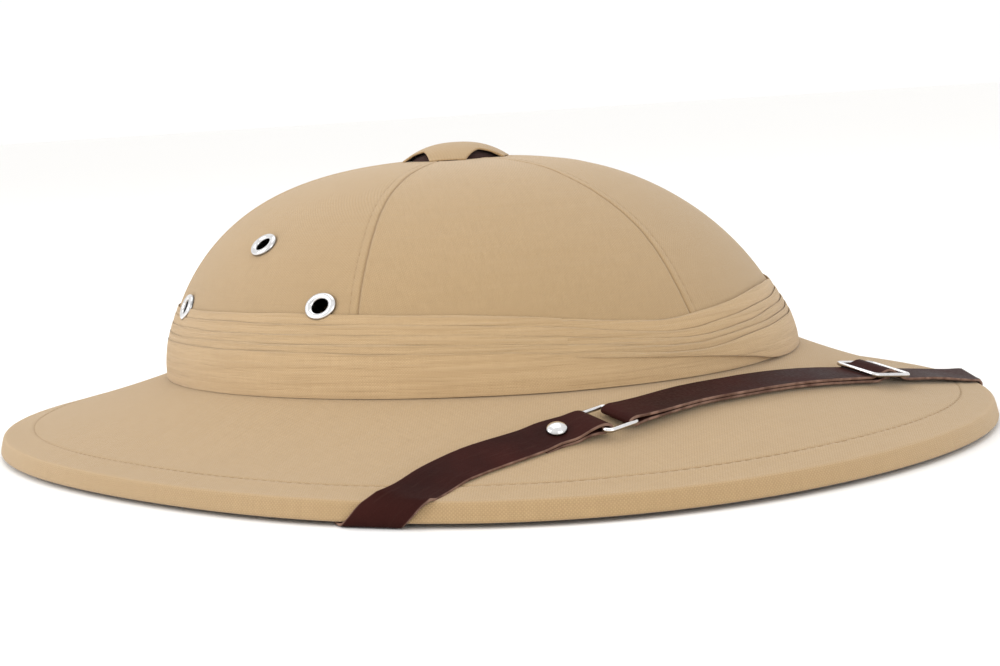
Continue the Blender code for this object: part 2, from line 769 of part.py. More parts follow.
def build_ring():
    """The rectangular ring that joins the two halves of the strap."""
    half = STRAP_WIDTH / 2 + RING_CLEAR + RING_WIRE
    bm = bmesh.new()
    frame = buckle_frame(RING_AT, RING_LIFT)
    bent_wire(bm, frame_corners(half, RING_SPAN), BEND_RADIUS, RING_WIRE, frame)
    return finish_object("strap_ring", bm, "chrome", sharp=60)


def build_slide():
    """The three-bar slide that sets the strap's length."""
    half = STRAP_WIDTH / 2 / math.cos(math.radians(SLIDE_SKEW)) + SLIDE_CLEAR + SLIDE_BAR
    frame = buckle_frame(SLIDE_AT, BAR_LIFT)
    bm = bmesh.new()
    bent_wire(bm, frame_corners(half, SLIDE_SPAN), BEND_RADIUS, SLIDE_BAR, frame)
    slide = finish_object("strap_slide", bm, "chrome", sharp=60)
    bar = bmesh.new()
    along_bar = frame @ Matrix.Rotation(math.pi / 2, 4, "Y")
    bar_radius = SLIDE_BAR * 0.9
    turned_solid(bar, along_bar, ((bar_radius, -half), (bar_radius, half)), steps=8)
    middle_bar = finish_object("middle_bar_guide", bar, "chrome")
    middle_bar.hide_render = True
    middle_bar.display_type = "WIRE"
    join = slide.modifiers.new("middle_bar", "BOOLEAN")
    join.operation = "UNION"
    join.solver = "EXACT"
    join.object = middle_bar
    return slide


def stud_frame():
    """Seat of the stud on the strap's upper face."""
    middle, across, *_ = route_frame(STUD_AT, smooth(RIGHT_LIFTS, STUD_AT)[0])
    before, after = STUD_AT - STUD_RADIUS, STUD_AT + STUD_RADIUS
    start = route_frame(before, smooth(RIGHT_LIFTS, before)[0])[0]
    end = route_frame(after, smooth(RIGHT_LIFTS, after)[0])[0]
    face = (end - start).cross(across).normalized()
    return stand(middle + face * (STRAP_THICKNESS / 2), face)


def build_stud():
    """The domed stud whose shank holds the folded end to the strap."""
    shank_end = STRAP_BED - smooth(RIGHT_LIFTS, STUD_AT)[0] - STRAP_THICKNESS + SEAT_GAP
    base = SEAT_GAP * 1.3
    profile = (
        (STUD_SHANK, shank_end),
        (STUD_SHANK, base),
        (STUD_RADIUS, base),
        (STUD_RADIUS * 0.96, base + STUD_RISE * 0.35),
        (STUD_RADIUS * 0.72, base + STUD_RISE * 0.78),
        (STUD_RADIUS * 0.35, base + STUD_RISE),
    )
    bm = bmesh.new()
    turned_solid(bm, stud_frame(), profile)
    return finish_object("strap_stud", bm, "chrome", sharp=40)


def build_rivet(name, side):
    """A plain rivet that holds the strap's end under the brim."""
    base = STRAP_BED + STRAP_THICKNESS / 2 + SEAT_GAP * 2.3
    profile = (
        (RIVET_SHANK, -RIVET_DEPTH),
        (RIVET_SHANK, base),
        (RIVET_RADIUS, base),
        (RIVET_RADIUS * 0.9, base + 0.0008),
        (RIVET_RADIUS * 0.4, base + 0.0012),
    )
    bm = bmesh.new()
    turned_solid(bm, rivet_frame(side), profile, steps=12)
    return finish_object(name, bm, "chrome", sharp=40)


def build_all():
    """Clear the scene and build every piece."""
    for old in list(bpy.data.objects):
        bpy.data.objects.remove(old)
    build_shell()
    build_band()
    build_cap()
    for name, seat in eyelet_frames():
        build_eyelet(name, seat)
    build_right_strap()
    build_left_strap()
    build_ring()
    build_slide()
    build_stud()
    build_rivet("strap_rivet_right", 1)
    build_rivet("strap_rivet_left", -1)


build_all()
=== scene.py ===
"""Looks of a pith helmet: cloth, stitching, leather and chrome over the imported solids.

Lengths are in metres. The wearer faces -Y, the wearer's right is -X and up is +Z.
A turn is an angle round the helmet in degrees: 0 at the front, 90 at the wearer's right.
"""
import math
from collections import namedtuple
from functools import cache

import bmesh
import bpy
from mathutils import Matrix, Vector


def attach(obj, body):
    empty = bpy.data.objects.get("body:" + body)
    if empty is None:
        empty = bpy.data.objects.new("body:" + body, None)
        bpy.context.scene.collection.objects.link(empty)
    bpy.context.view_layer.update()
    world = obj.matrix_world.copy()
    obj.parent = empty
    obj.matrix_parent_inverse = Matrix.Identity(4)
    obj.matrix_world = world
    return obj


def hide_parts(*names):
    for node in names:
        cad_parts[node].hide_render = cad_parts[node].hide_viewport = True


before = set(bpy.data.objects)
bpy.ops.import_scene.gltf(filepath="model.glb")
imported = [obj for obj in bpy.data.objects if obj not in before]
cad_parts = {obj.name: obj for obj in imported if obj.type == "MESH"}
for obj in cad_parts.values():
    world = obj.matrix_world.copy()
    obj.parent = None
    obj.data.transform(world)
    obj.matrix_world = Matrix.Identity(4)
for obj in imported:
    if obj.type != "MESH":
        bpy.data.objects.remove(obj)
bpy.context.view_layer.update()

# Sizes of the shell: the solids' own, apart from the brim's dishing
SHELL_WALL = 0.003
FOOT_HEIGHT = 0.0015
CROWN_HALF_WIDTH = 0.1045
CROWN_HALF_LENGTH = 0.1205
CROWN_TOP = FOOT_HEIGHT + 0.0937
CROWN_BACK = 0.0115
CROWN_ROUNDING = 2.75
CROWN_DOMING = 1.7
CROWN_LEAN = 0.0100
APEX_BACK = 0.0036
LEAN_RETURN = 10
BASE_MEAN = FOOT_HEIGHT + 0.0232
BASE_FRONT_RISE = 0.0026
BASE_SIDE_RISE = 0.0011
VENT_HALF_WIDTH = 0.0085
RIM_HALF_WIDTH = 0.1615
RIM_HALF_LENGTH = 0.1800
RIM_BACK = 0.0045
RIM_SQUARING = 0.030
RIM_FRONT_REACH = 0.025
RIDGE_INSET = 0.002
RIDGE_HEIGHT = 0.006
DISHING_MEAN = 0.36
DISHING_SWING = 0.34
FOOT_WIDTH = 0.0026

# Sizes of the fittings, near the solids' own and fitted to the photograph
SEAT_GAP = 0.0003
EYELET_HOLE = 0.0030
EYELET_BARREL = 0.0033
EYELET_FLANGE = 0.0057
EYELET_BACK = 0.0008
EYELET_SPREAD = 21.2
FRONT_EYELET_HEIGHT = FOOT_HEIGHT + 0.0520
REAR_EYELET_HEIGHT = FOOT_HEIGHT + 0.0484
TOP_EYELET_HEIGHT = FOOT_HEIGHT + 0.0699
EYELET_WIDENING = 1.03
EYELET_FLATTENING = 0.83
CAP_REACH = 0.0182
CAP_LEG_WIDTH = 0.0128
CAP_CORNER = 0.0098
CAP_RISE = 0.0052
CAP_WALL = 0.0009
CAP_GAP = -0.0003
CAP_TURN = 48.0
STRAP_WIDTH = 0.013
STRAP_THICKNESS = 0.0009
STRAP_BED = 0.0002 + STRAP_THICKNESS / 2
RING_AT = 0.0686
RING_SKEW_FROM = 0.012
RING_SPAN = 0.0113
RING_WIRE = 0.0007
RING_CLEAR = 0.0006
SLIDE_AT = 0.1820
SLIDE_SPAN = 0.0182
SLIDE_BAR = 0.0007
SLIDE_SKEW = -1.0
SLIDE_CLEAR = 0.0008
BEND_RADIUS = 0.0018
STUD_AT = 0.0528
STUD_RADIUS = 0.0032
STUD_RISE = 0.0018
TAIL_END = 0.0442
RIVET_RADIUS = 0.0034
RIVET_RISE = 0.0012
RIVET_BACK = 0.0065


# Camera, lights and floor

def stand_camera():
    """The camera at the photograph's angle, for a picture of 1000 by 666."""
    azimuth, elevation, roll = map(math.radians, (-38.549, 6.09, -3.601))
    back = Vector((
        math.sin(azimuth) * math.cos(elevation),
        -math.cos(azimuth) * math.cos(elevation),
        math.sin(elevation),
    ))
    lens = bpy.data.cameras.new("camera")
    lens.lens = 69.93
    lens.sensor_width = 36
    lens.shift_x = 0.0284
    lens.shift_y = -0.0260
    lens.clip_start = 0.05
    camera = bpy.data.objects.new("camera", lens)
    bpy.context.scene.collection.objects.link(camera)
    turn = (-back).to_track_quat("-Z", "Y").to_matrix().to_4x4()
    camera.matrix_world = (
        Matrix.Translation(Vector((0, CROWN_BACK, 0.0415)) + back * 0.700)
        @ turn @ Matrix.Rotation(roll, 4, "Z")
    )
    bpy.context.scene.camera = camera


def hang_light(name, place, aim, size, power):
    """A square soft light at a place, turned towards a point."""
    lamp = bpy.data.lights.new(name, "AREA")
    lamp.size = size
    lamp.energy = power
    light = bpy.data.objects.new(name, lamp)
    light.location = place
    light.rotation_euler = (Vector(aim) - Vector(place)).to_track_quat("-Z", "Y").to_euler()
    bpy.context.scene.collection.objects.link(light)


def light_studio():
    """Soft light from all round, with large lamps overhead and to the left of the picture."""
    bpy.context.scene.view_settings.view_transform = "Standard"
    world = bpy.data.worlds.new("studio")
    bpy.context.scene.world = world
    world.use_nodes = True
    world.node_tree.nodes["Background"].inputs["Color"].default_value = (1, 0.995, 0.985, 1)
    world.node_tree.nodes["Background"].inputs["Strength"].default_value = 1.02
    middle = (0, 0.01, 0.04)
    hang_light("overhead_light", (0.15, 0.35, 1.5), middle, 1.1, 4)
    hang_light("left_light", (-1.4, 0.7, 0.75), middle, 0.9, 10)
    hang_light("front_light", (-0.3, -1.5, 0.4), middle, 1.0, 6)


def lay_floor():
    """A plain pale floor."""
    clear_selection()
    bpy.ops.mesh.primitive_circle_add(vertices=96, radius=14, fill_type="NGON")
    floor = bpy.context.object
    floor.name = "floor"
    paint = bpy.data.materials.new("pale_floor")
    paint.use_nodes = True
    shader = paint.node_tree.nodes["Principled BSDF"]
    shader.inputs["Base Color"].default_value = (0.97, 0.965, 0.955, 1)
    shader.inputs["Roughness"].default_value = 0.9
    floor.data.materials.append(paint)


# Materials

def add_node(tree, kind, links=None, **settings):
    """A node with its settings made and its inputs linked or set."""
    made = tree.nodes.new(kind)
    for key, value in settings.items():
        setattr(made, key, value)
    for key, value in (links or {}).items():
        socket = made.inputs[key]
        if isinstance(value, bpy.types.NodeSocket):
            tree.links.new(value, socket)
        else:
            socket.default_value = value
    return made


def sums(tree, operation, *values):
    """The output of a Math node."""
    return add_node(tree, "ShaderNodeMath", dict(enumerate(values)), operation=operation).outputs[0]


def vectors(tree, operation, *values):
    """The output of a Vector Math node."""
    return add_node(tree, "ShaderNodeVectorMath", dict(enumerate(values)), operation=operation).outputs[0]


def span(tree, value, low, high, new_low, new_high):
    """A value carried from one range to another and kept inside it."""
    links = {0: value, 1: low, 2: high, 3: new_low, 4: new_high}
    return add_node(tree, "ShaderNodeMapRange", links, clamp=True).outputs[0]


def noise(tree, place, scale, detail, roughness=0.5, output="Fac"):
    """The output of a Noise node."""
    links = {"Vector": place, "Scale": scale, "Detail": detail, "Roughness": roughness}
    return add_node(tree, "ShaderNodeTexNoise", links).outputs[output]


def bump(tree, height, distance, strength=1.0, over=None):
    """The normal of a Bump node, laid over another normal if there is one."""
    links = {"Height": height, "Distance": distance, "Strength": strength}
    if over:
        links["Normal"] = over
    return add_node(tree, "ShaderNodeBump", links).outputs[0]


def blend_colours(tree, share, first, second):
    """Two colours mixed, each a colour or a socket."""
    mix = add_node(tree, "ShaderNodeMix", data_type="RGBA")
    for place, value in ((0, share), (6, first), (7, second)):
        if isinstance(value, bpy.types.NodeSocket):
            tree.links.new(value, mix.inputs[place])
        else:
            mix.inputs[place].default_value = (*value, 1)
    return mix.outputs[2]


def toned(colour, *factors):
    """A colour made lighter or darker by one factor, or by one each for red, green and blue."""
    if len(factors) == 1:
        factors *= 3
    return tuple(c * f for c, f in zip(colour, factors))


def new_finish(name):
    """An empty material, its tree, its shader and the place on the object."""
    made = bpy.data.materials.new(name)
    made.use_nodes = True
    tree = made.node_tree
    place = add_node(tree, "ShaderNodeTexCoord").outputs["Object"]
    return made, tree, tree.nodes["Principled BSDF"], place


def painted_tone(tree):
    """The tone laid on the mesh: below 0 is darker, painted shade; above 0 is lighter, painted highlight."""
    return add_node(tree, "ShaderNodeAttribute", attribute_name="tone").outputs["Fac"]


def cloth_finish(name, colour, thread=0.00053, relief=0.00014, sheen=0.30, wrinkles=0.0003, gathers=0.0):
    """Plain-woven cotton: crossing threads, slubs, faint shading, and painted highlight and painted shade
    along creases, seams and edges.

    Thread is the width of a thread and relief its height. Wrinkles and gathers are the depths of the
    broad waves and of the fine uneven creases that run along the cloth.
    """
    made, tree, shader, place = new_finish(name)
    flat = add_node(tree, "ShaderNodeUVMap", uv_map="cloth").outputs[0]
    wander = vectors(tree, "SUBTRACT", noise(tree, flat, 260, 2, output="Color"), (0.5, 0.5, 0.5))
    cloth = vectors(tree, "ADD", flat, vectors(tree, "MULTIPLY", wander, (thread * 0.7,) * 3))

    parts = add_node(tree, "ShaderNodeSeparateXYZ", {0: cloth})
    warp = sums(tree, "SINE", sums(tree, "MULTIPLY", parts.outputs[0], math.pi / thread))
    weft = sums(tree, "SINE", sums(tree, "MULTIPLY", parts.outputs[1], math.pi / thread))
    warp_over = span(tree, sums(tree, "MULTIPLY", warp, weft), -0.25, 0.25, 0, 1)
    weft_over = sums(tree, "SUBTRACT", 1.0, warp_over)
    round_warp = sums(tree, "MULTIPLY", sums(tree, "ABSOLUTE", warp), warp_over)
    round_weft = sums(tree, "MULTIPLY", sums(tree, "ABSOLUTE", weft), weft_over)
    threads = sums(tree, "ADD", round_warp, round_weft)
    slubs = noise(tree, vectors(tree, "MULTIPLY", cloth, (1, 14, 1)), 120, 3)
    cross_slubs = noise(tree, vectors(tree, "MULTIPLY", cloth, (14, 1, 1)), 120, 3)
    shading = noise(tree, place, 16, 4, 0.6)
    tone = painted_tone(tree)

    darker = toned(colour, 0.74, 0.70, 0.64)
    warp_colour = toned(colour, 1.12, 1.13, 1.16)
    weft_colour = toned(colour, 0.93, 0.92, 0.90)
    base = blend_colours(tree, warp_over, weft_colour, warp_colour)
    for share, over in (
        (span(tree, threads, 0.0, 0.7, 0.75, 0), darker),
        (span(tree, slubs, 0.35, 0.75, 0, 0.35), toned(colour, 1.13)),
        (span(tree, cross_slubs, 0.35, 0.75, 0, 0.30), darker),
        (span(tree, shading, 0.35, 0.65, 0, 0.30), toned(colour, 0.90, 0.89, 0.86)),
        # Tone above 0 gives painted highlight, tone below 0 gives painted shade
        (span(tree, tone, 0.0, 1.0, 0, 0.55), toned(colour, 1.10, 1.10, 1.14)),
        (span(tree, tone, 0.0, -1.0, 0, 0.75), toned(colour, 0.50, 0.45, 0.40)),
    ):
        base = blend_colours(tree, share, base, over)

    height = sums(tree, "ADD", sums(tree, "MULTIPLY", threads, 0.8), sums(tree, "MULTIPLY", slubs, 0.6))
    drape = noise(tree, vectors(tree, "MULTIPLY", cloth, (9, 150, 1)), 1, 3)
    soft = bump(tree, drape, wrinkles)
    if gathers:
        creases = noise(tree, vectors(tree, "MULTIPLY", cloth, (26, 520, 1)), 1, 3)
        soft = bump(tree, creases, gathers, over=soft)
        # Painted shade in the creases of the gathers
        base = blend_colours(tree, span(tree, creases, 0.42, 0.62, 0, 0.32), base, darker)
    tree.links.new(base, shader.inputs["Base Color"])
    tree.links.new(span(tree, threads, 0.0, 1.0, 0.96, 0.80), shader.inputs["Roughness"])
    tree.links.new(bump(tree, height, relief, 0.9, soft), shader.inputs["Normal"])
    shader.inputs["Specular IOR Level"].default_value = 0.2
    shader.inputs["Sheen Weight"].default_value = sheen
    shader.inputs["Sheen Roughness"].default_value = 0.55
    shader.inputs["Sheen Tint"].default_value = (1.0, 0.96, 0.90, 1)
    return made


def leather_finish(name, colour, edge_colour):
    """Smooth dark leather: fine grain, slow shading, rubbed edges and a soft gloss."""
    made, tree, shader, place = new_finish(name)
    run = add_node(tree, "ShaderNodeUVMap", uv_map="strap").outputs[0]
    grain_links = {"Vector": place, "Scale": 1900, "Smoothness": 0.6}
    grain = add_node(tree, "ShaderNodeTexVoronoi", grain_links, feature="SMOOTH_F1").outputs["Distance"]
    pores = noise(tree, place, 900, 4, 0.6)
    clouds = noise(tree, place, 60, 4)
    scuffs = noise(tree, vectors(tree, "MULTIPLY", run, (1, 12, 1)), 70, 5, 0.7)
    uneven = noise(tree, place, 260, 3)
    across = add_node(tree, "ShaderNodeSeparateXYZ", {0: run}).outputs[1]
    from_middle = sums(tree, "ABSOLUTE", across)
    edge = span(tree, from_middle, STRAP_WIDTH / 2 - 0.00040, STRAP_WIDTH / 2 - 0.00005, 0, 1)
    rubbed = sums(tree, "MULTIPLY", edge, span(tree, uneven, 0.35, 0.65, 0.35, 1.0))

    base = blend_colours(tree, span(tree, clouds, 0.3, 0.7, 0, 1), toned(colour, 0.75), toned(colour, 1.35))
    base = blend_colours(tree, span(tree, scuffs, 0.55, 0.85, 0, 0.06), base, edge_colour)
    base = blend_colours(tree, rubbed, base, edge_colour)
    gloss = span(tree, clouds, 0.3, 0.7, 0.40, 0.52)
    gloss = sums(tree, "ADD", gloss, span(tree, pores, 0.3, 0.7, -0.04, 0.08))
    height = sums(tree, "ADD", grain, sums(tree, "MULTIPLY", pores, 0.5))
    tree.links.new(base, shader.inputs["Base Color"])
    tree.links.new(gloss, shader.inputs["Roughness"])
    tree.links.new(bump(tree, height, 0.00012, 0.35), shader.inputs["Normal"])
    shader.inputs["Specular IOR Level"].default_value = 0.03
    return made


def chrome_finish(name):
    """Bright plating with faint smudges and fine scratches, darkened by painted shade and painted dark
    reflection where its tone is low.
    """
    made, tree, shader, place = new_finish(name)
    smudges = noise(tree, place, 320, 5, 0.65)
    scratches = noise(tree, vectors(tree, "MULTIPLY", place, (1, 9, 3)), 700, 3)
    base = blend_colours(tree, span(tree, smudges, 0.35, 0.75, 0, 1), (0.80, 0.80, 0.81), (0.62, 0.61, 0.61))
    painted_shade = span(tree, painted_tone(tree), 0.0, -1.0, 0, 0.9)
    # Painted shade and painted dark reflection at the plating's foot and where it faces the strap
    base = blend_colours(tree, painted_shade, base, (0.045, 0.040, 0.038))
    tree.links.new(base, shader.inputs["Base Color"])
    tree.links.new(span(tree, smudges, 0.3, 0.75, 0.10, 0.24), shader.inputs["Roughness"])
    tree.links.new(bump(tree, scratches, 0.00002, 0.25), shader.inputs["Normal"])
    shader.inputs["Metallic"].default_value = 1.0
    return made


# Forms of the shell, and frames that stand on them

def lerp(a, b, share):
    """The value a share of the way from a to b."""
    return a + (b - a) * share


def clamp(value, low=0, high=1):
    """The value, kept between low and high."""
    return min(max(value, low), high)


def run_lengths(points):
    """Distance along a line of points, from its start to each of them."""
    lengths = [0.0]
    for here, last in zip(points[1:], points):
        lengths.append(lengths[-1] + (here - last).length)
    return lengths


def base_height(turn):
    """Height of the line where the crown meets the brim."""
    a = math.radians(turn)
    return BASE_MEAN + BASE_FRONT_RISE * math.cos(a) - BASE_SIDE_RISE * math.cos(2 * a)


def rise(bumps, place):
    """The sum of bumps at a place: each is highest at its own place and falls smoothly past its width."""
    return sum(bump.height * math.exp(-((place - bump.at) / bump.width) ** 2) for bump in bumps)


def crown_girth(up):
    """The share of its full girth that the crown has at a share of its height."""
    return max(1 - up ** CROWN_DOMING, 0) ** (1 / CROWN_ROUNDING)


def crown_up(girth):
    """The share of the crown's height at which it has the given share of its full girth."""
    return (1 - girth ** CROWN_ROUNDING) ** (1 / CROWN_DOMING)


def crown_middle(up):
    """How far back the crown's middle lies at a share of its height."""
    return CROWN_BACK + CROWN_LEAN * up - (CROWN_LEAN - APEX_BACK) * up ** LEAN_RETURN


def crown_point(turn, up):
    """A point on the crown: up is 0 at its base and 1 at its top."""
    a = math.radians(turn)
    girth = crown_girth(up)
    return Vector((
        -CROWN_HALF_WIDTH * girth * math.sin(a),
        -CROWN_HALF_LENGTH * girth * math.cos(a) + crown_middle(up),
        lerp(base_height(turn), CROWN_TOP, up),
    ))


def rim_point(turn, inset, height):
    """A point by the rim: inset from its outline, at a height over its foot."""
    a = math.radians(turn)
    reach = 1 - RIM_SQUARING * math.cos(4 * a) + RIM_FRONT_REACH * math.cos(3 * a)
    return Vector((
        -(RIM_HALF_WIDTH * reach - inset) * math.sin(a),
        -(RIM_HALF_LENGTH * reach - inset) * math.cos(a) + RIM_BACK,
        FOOT_HEIGHT + height,
    ))


def brim_point(turn, out):
    """A point on the brim's upper face: out is 0 at the crown and 1 at the ridge of the rim."""
    inner, outer = crown_point(turn, 0), rim_point(turn, RIDGE_INSET, RIDGE_HEIGHT)
    dishing = DISHING_MEAN - DISHING_SWING * math.cos(math.radians(2 * turn))
    place = inner.lerp(outer, out)
    place.z = lerp(inner.z, outer.z, out + dishing * out * (1 - out))
    return place


def outward(surface, turn, across):
    """Unit vector out of the shell at a point of crown_point or brim_point."""
    step = 0.001
    round_it = surface(turn + 0.5, across) - surface(turn - 0.5, across)
    over_it = surface(turn, across + step) - surface(turn, max(across - step, 0))
    normal = over_it.cross(round_it).normalized()
    far_below = Vector((0, CROWN_BACK, BASE_MEAN - 0.2))
    return normal if normal.dot(surface(turn, across) - far_below) > 0 else -normal


def off_crown(turn, height, stand_off):
    """A point over the crown, by height above its base and distance out of its surface."""
    up = max(height, 0) / (CROWN_TOP - base_height(turn))
    return crown_point(turn, up) + outward(crown_point, turn, up) * stand_off


def level_distance(first, second):
    """The distance between two points, seen from above."""
    return math.hypot(second.x - first.x, second.y - first.y)


def rim_tangent(turn):
    """Level unit vector along the rim, towards greater turns."""
    return (rim_point(turn + 0.5, 0, 0) - rim_point(turn - 0.5, 0, 0)).normalized()


def smooth(rows, at):
    """The other columns of a table read smoothly at a value of its first column."""
    rows = sorted(rows)
    at = clamp(at, rows[0][0], rows[-1][0])
    i = max(k for k in range(len(rows) - 1) if rows[k][0] <= at)
    low, high = rows[i], rows[i + 1]
    before = rows[i - 1] if i > 0 else low
    after = rows[i + 2] if i + 2 < len(rows) else high
    gap = high[0] - low[0]
    f = (at - low[0]) / gap
    values = []
    for k in range(1, len(low)):
        start = (high[k] - before[k]) / (high[0] - before[0]) * gap
        end = (after[k] - low[k]) / (after[0] - low[0]) * gap
        rise = high[k] - low[k]
        if rise * start <= 0:
            start = 0
        if rise * end <= 0:
            end = 0
        square = 3 * rise - 2 * start - end
        cube = start + end - 2 * rise
        values.append(low[k] + start * f + square * f ** 2 + cube * f ** 3)
    return values


def stand(origin, normal, toward=None):
    """Frame with its Z along the normal and its X level, or as near as it can be to toward."""
    z = normal.normalized()
    if toward is None:
        toward = Vector((0, 0, 1)).cross(z)
    x = (toward - z * toward.dot(z)).normalized()
    y = z.cross(x)
    return Matrix.Translation(origin) @ Matrix((x, y, z)).transposed().to_4x4()


# Modelling helpers

def clear_selection():
    """Leave edit mode and select nothing."""
    if bpy.context.object and bpy.context.object.mode != "OBJECT":
        bpy.ops.object.mode_set(mode="OBJECT")
    bpy.ops.object.select_all(action="DESELECT")


def pick(piece):
    """Make one piece the selected and active one."""
    clear_selection()
    piece.select_set(True)
    bpy.context.view_layer.objects.active = piece


def named(name):
    """Name the piece that was just made."""
    piece = bpy.context.object
    piece.name = name
    piece.data.name = name
    return piece


def modify(piece, kind, **settings):
    """Add a modifier and apply it."""
    pick(piece)
    made = piece.modifiers.new(kind.lower(), kind)
    for key, value in settings.items():
        setattr(made, key, value)
    bpy.ops.object.modifier_apply(modifier=made.name)


def join(name, pieces):
    """Join pieces into one with a name."""
    clear_selection()
    for piece in pieces:
        piece.select_set(True)
    bpy.context.view_layer.objects.active = pieces[0]
    bpy.ops.object.join()
    return named(name)


def shade(piece, angle):
    """Smooth shading with sharp edges past an angle."""
    pick(piece)
    bpy.ops.object.shade_smooth_by_angle(angle=math.radians(angle))


def edit(piece):
    """Enter edit mode on one piece, with all of it selected."""
    pick(piece)
    bpy.ops.object.mode_set(mode="EDIT")
    bpy.ops.mesh.select_all(action="SELECT")


def select_open_edges():
    """In edit mode, select the edges that only one face has."""
    bpy.ops.mesh.select_mode(type="EDGE")
    bpy.ops.mesh.select_all(action="DESELECT")
    bpy.ops.mesh.select_non_manifold()


def select_where(piece, wanted):
    """In edit mode, select the vertices whose place passes a test."""
    bpy.ops.mesh.select_all(action="DESELECT")
    mesh = bmesh.from_edit_mesh(piece.data)
    for vertex in mesh.verts:
        vertex.select = wanted(vertex.co)
    mesh.select_flush(True)
    bmesh.update_edit_mesh(piece.data)


def move_along(axis, distance):
    """A move along one axis, 0 for X and 1 for Y."""
    move = [0.0, 0.0, 0.0]
    move[axis] = distance
    return move


def round_edges(piece, width, angle):
    """Round the edges that are sharper than an angle."""
    limit = math.radians(angle)
    modify(piece, "BEVEL", width=width, segments=3, limit_method="ANGLE", angle_limit=limit)


def face_out(piece):
    """Merge doubles and turn all faces outwards."""
    edit(piece)
    bpy.ops.mesh.remove_doubles(threshold=1e-6)
    bpy.ops.mesh.normals_make_consistent(inside=False)
    bpy.ops.object.mode_set(mode="OBJECT")


def dress(piece, finish, *nodes, slot):
    """Give a piece its material, the body it rides on, and the solids it stands for. The slot is not used.
    """
    piece.data.materials.clear()
    piece.data.materials.append(finish)
    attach(piece, "root")
    if nodes:
        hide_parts(*nodes)


def drawn_tube(name, around, along):
    """A tube of unit rings drawn out from a circle, one step of 1 m for each ring."""
    clear_selection()
    bpy.ops.mesh.primitive_circle_add(vertices=around, radius=1, enter_editmode=True)
    piece = named(name)
    for _ in range(along - 1):
        bpy.ops.mesh.extrude_region_move(TRANSFORM_OT_translate={"value": (0, 0, 1)})
    bpy.ops.object.mode_set(mode="OBJECT")
    marks = []
    for vertex in piece.data.vertices:
        angle = math.atan2(vertex.co.x, vertex.co.y) / math.tau * around
        marks.append((round(angle) % around, round(vertex.co.z)))
    return piece, marks


def close_tube(piece):
    """Bridge the two open ends of a drawn tube."""
    edit(piece)
    select_open_edges()
    bpy.ops.mesh.bridge_edge_loops()
    bpy.ops.object.mode_set(mode="OBJECT")


def turned_ring(name, profile, around):
    """A closed ring with a profile of radii and heights."""
    piece, marks = drawn_tube(name, around, len(profile))
    close_tube(piece)

    def form(column, row):
        radius, height = profile[row]
        angle = column * math.tau / around
        return Vector((radius * math.sin(angle), radius * math.cos(angle), height))

    settle(piece, marks, form)
    face_out(piece)
    return piece


def drawn_sheet(name, columns, rows):
    """A flat grid of unit squares, and the column and row of each of its vertices."""
    clear_selection()
    bpy.ops.mesh.primitive_grid_add(x_subdivisions=columns - 1, y_subdivisions=rows - 1, size=1)
    piece = named(name)
    marks = []
    for vertex in piece.data.vertices:
        marks.append((
            round((vertex.co.x + 0.5) * (columns - 1)),
            round((vertex.co.y + 0.5) * (rows - 1)),
        ))
    return piece, marks


def settle(piece, marks, form):
    """Move every vertex to its place on the piece's form."""
    for vertex, mark in zip(piece.data.vertices, marks):
        vertex.co = form(*mark)


def new_map(piece, name):
    """An empty UV map, the piece's only one."""
    layers = piece.data.uv_layers
    for other in list(layers):
        layers.remove(other)
    return layers.new(name=name)


def map_flat(piece):
    """The cloth's UV map in metres, looking straight down on the piece."""
    layer = new_map(piece, "cloth")
    for face in piece.data.polygons:
        for loop, corner in zip(face.loop_indices, face.vertices):
            place = piece.data.vertices[corner].co
            layer.data[loop].uv = (place.x, place.y + place.z)


def map_form(piece, name, marks, flat, around=0):
    """A UV map in metres: flat gives it from a column, a row and the middle of the face.

    Where the columns close on themselves, around is their number.
    """
    layer = new_map(piece, name)
    for face in piece.data.polygons:
        corners = [marks[i] for i in face.vertices]
        columns = [c for c, _ in corners]
        if around and max(columns) - min(columns) > around / 2:
            corners = [(c + around if c < around / 2 else c, r) for c, r in corners]
        middle = (
            sum(c for c, _ in corners) / len(corners),
            sum(r for _, r in corners) / len(corners),
        )
        for loop, corner in zip(face.loop_indices, corners):
            layer.data[loop].uv = flat(*corner, middle)


def lay_tone(piece, tones):
    """Store how much lighter or darker each vertex is."""
    layer = piece.data.attributes.new("tone", "FLOAT", "POINT")
    layer.data.foreach_set("value", tones)


def lay_foot_shade(piece, place, low, high):
    """Paint shade and dark reflection onto plating towards its foot: heights are over the seat the piece
    stands on.
    """
    inverse = place.inverted()
    heights = [(inverse @ vertex.co).z for vertex in piece.data.vertices]
    lay_tone(piece, [clamp((height - low) / (high - low)) - 1 for height in heights])


# Crown and brim

Bump = namedtuple("Bump", "height at width")
SEAM_TURNS = (1.5, 61.5, 121.5, 181.5, 241.5, 301.5)
SEAM_BOWS = ((Bump(-2.0, 0.70, 0.24),), (Bump(-0.8, 0.70, 0.24),), (), (), (), ())

# Distances beside each seam at which the shell has a column of points
BESIDE_SEAM = (
    0.00025, 0.0005, 0.0008, 0.0012, 0.0017, 0.0022, 0.0026,
    0.0028, 0.0030, 0.0033, 0.0037, 0.0044, 0.0060, 0.0080,
)
SEAM_OFFSETS = (*(-distance for distance in reversed(BESIDE_SEAM)), 0.0, *BESIDE_SEAM)
PANEL_STEPS = 18
PANEL_COLUMNS = len(SEAM_OFFSETS) + PANEL_STEPS - 1
COLUMNS = len(SEAM_TURNS) * PANEL_COLUMNS
SEAM_CROWDING = 0.030
SEAM_REACH = 0.009
SEAM_FADE = 0.05
STITCH_OFFSET = 0.0028
STITCH_SIDES = (-1, 1, 1, 1, -1, -1)
BRIM_STITCH_INSET = 0.0100
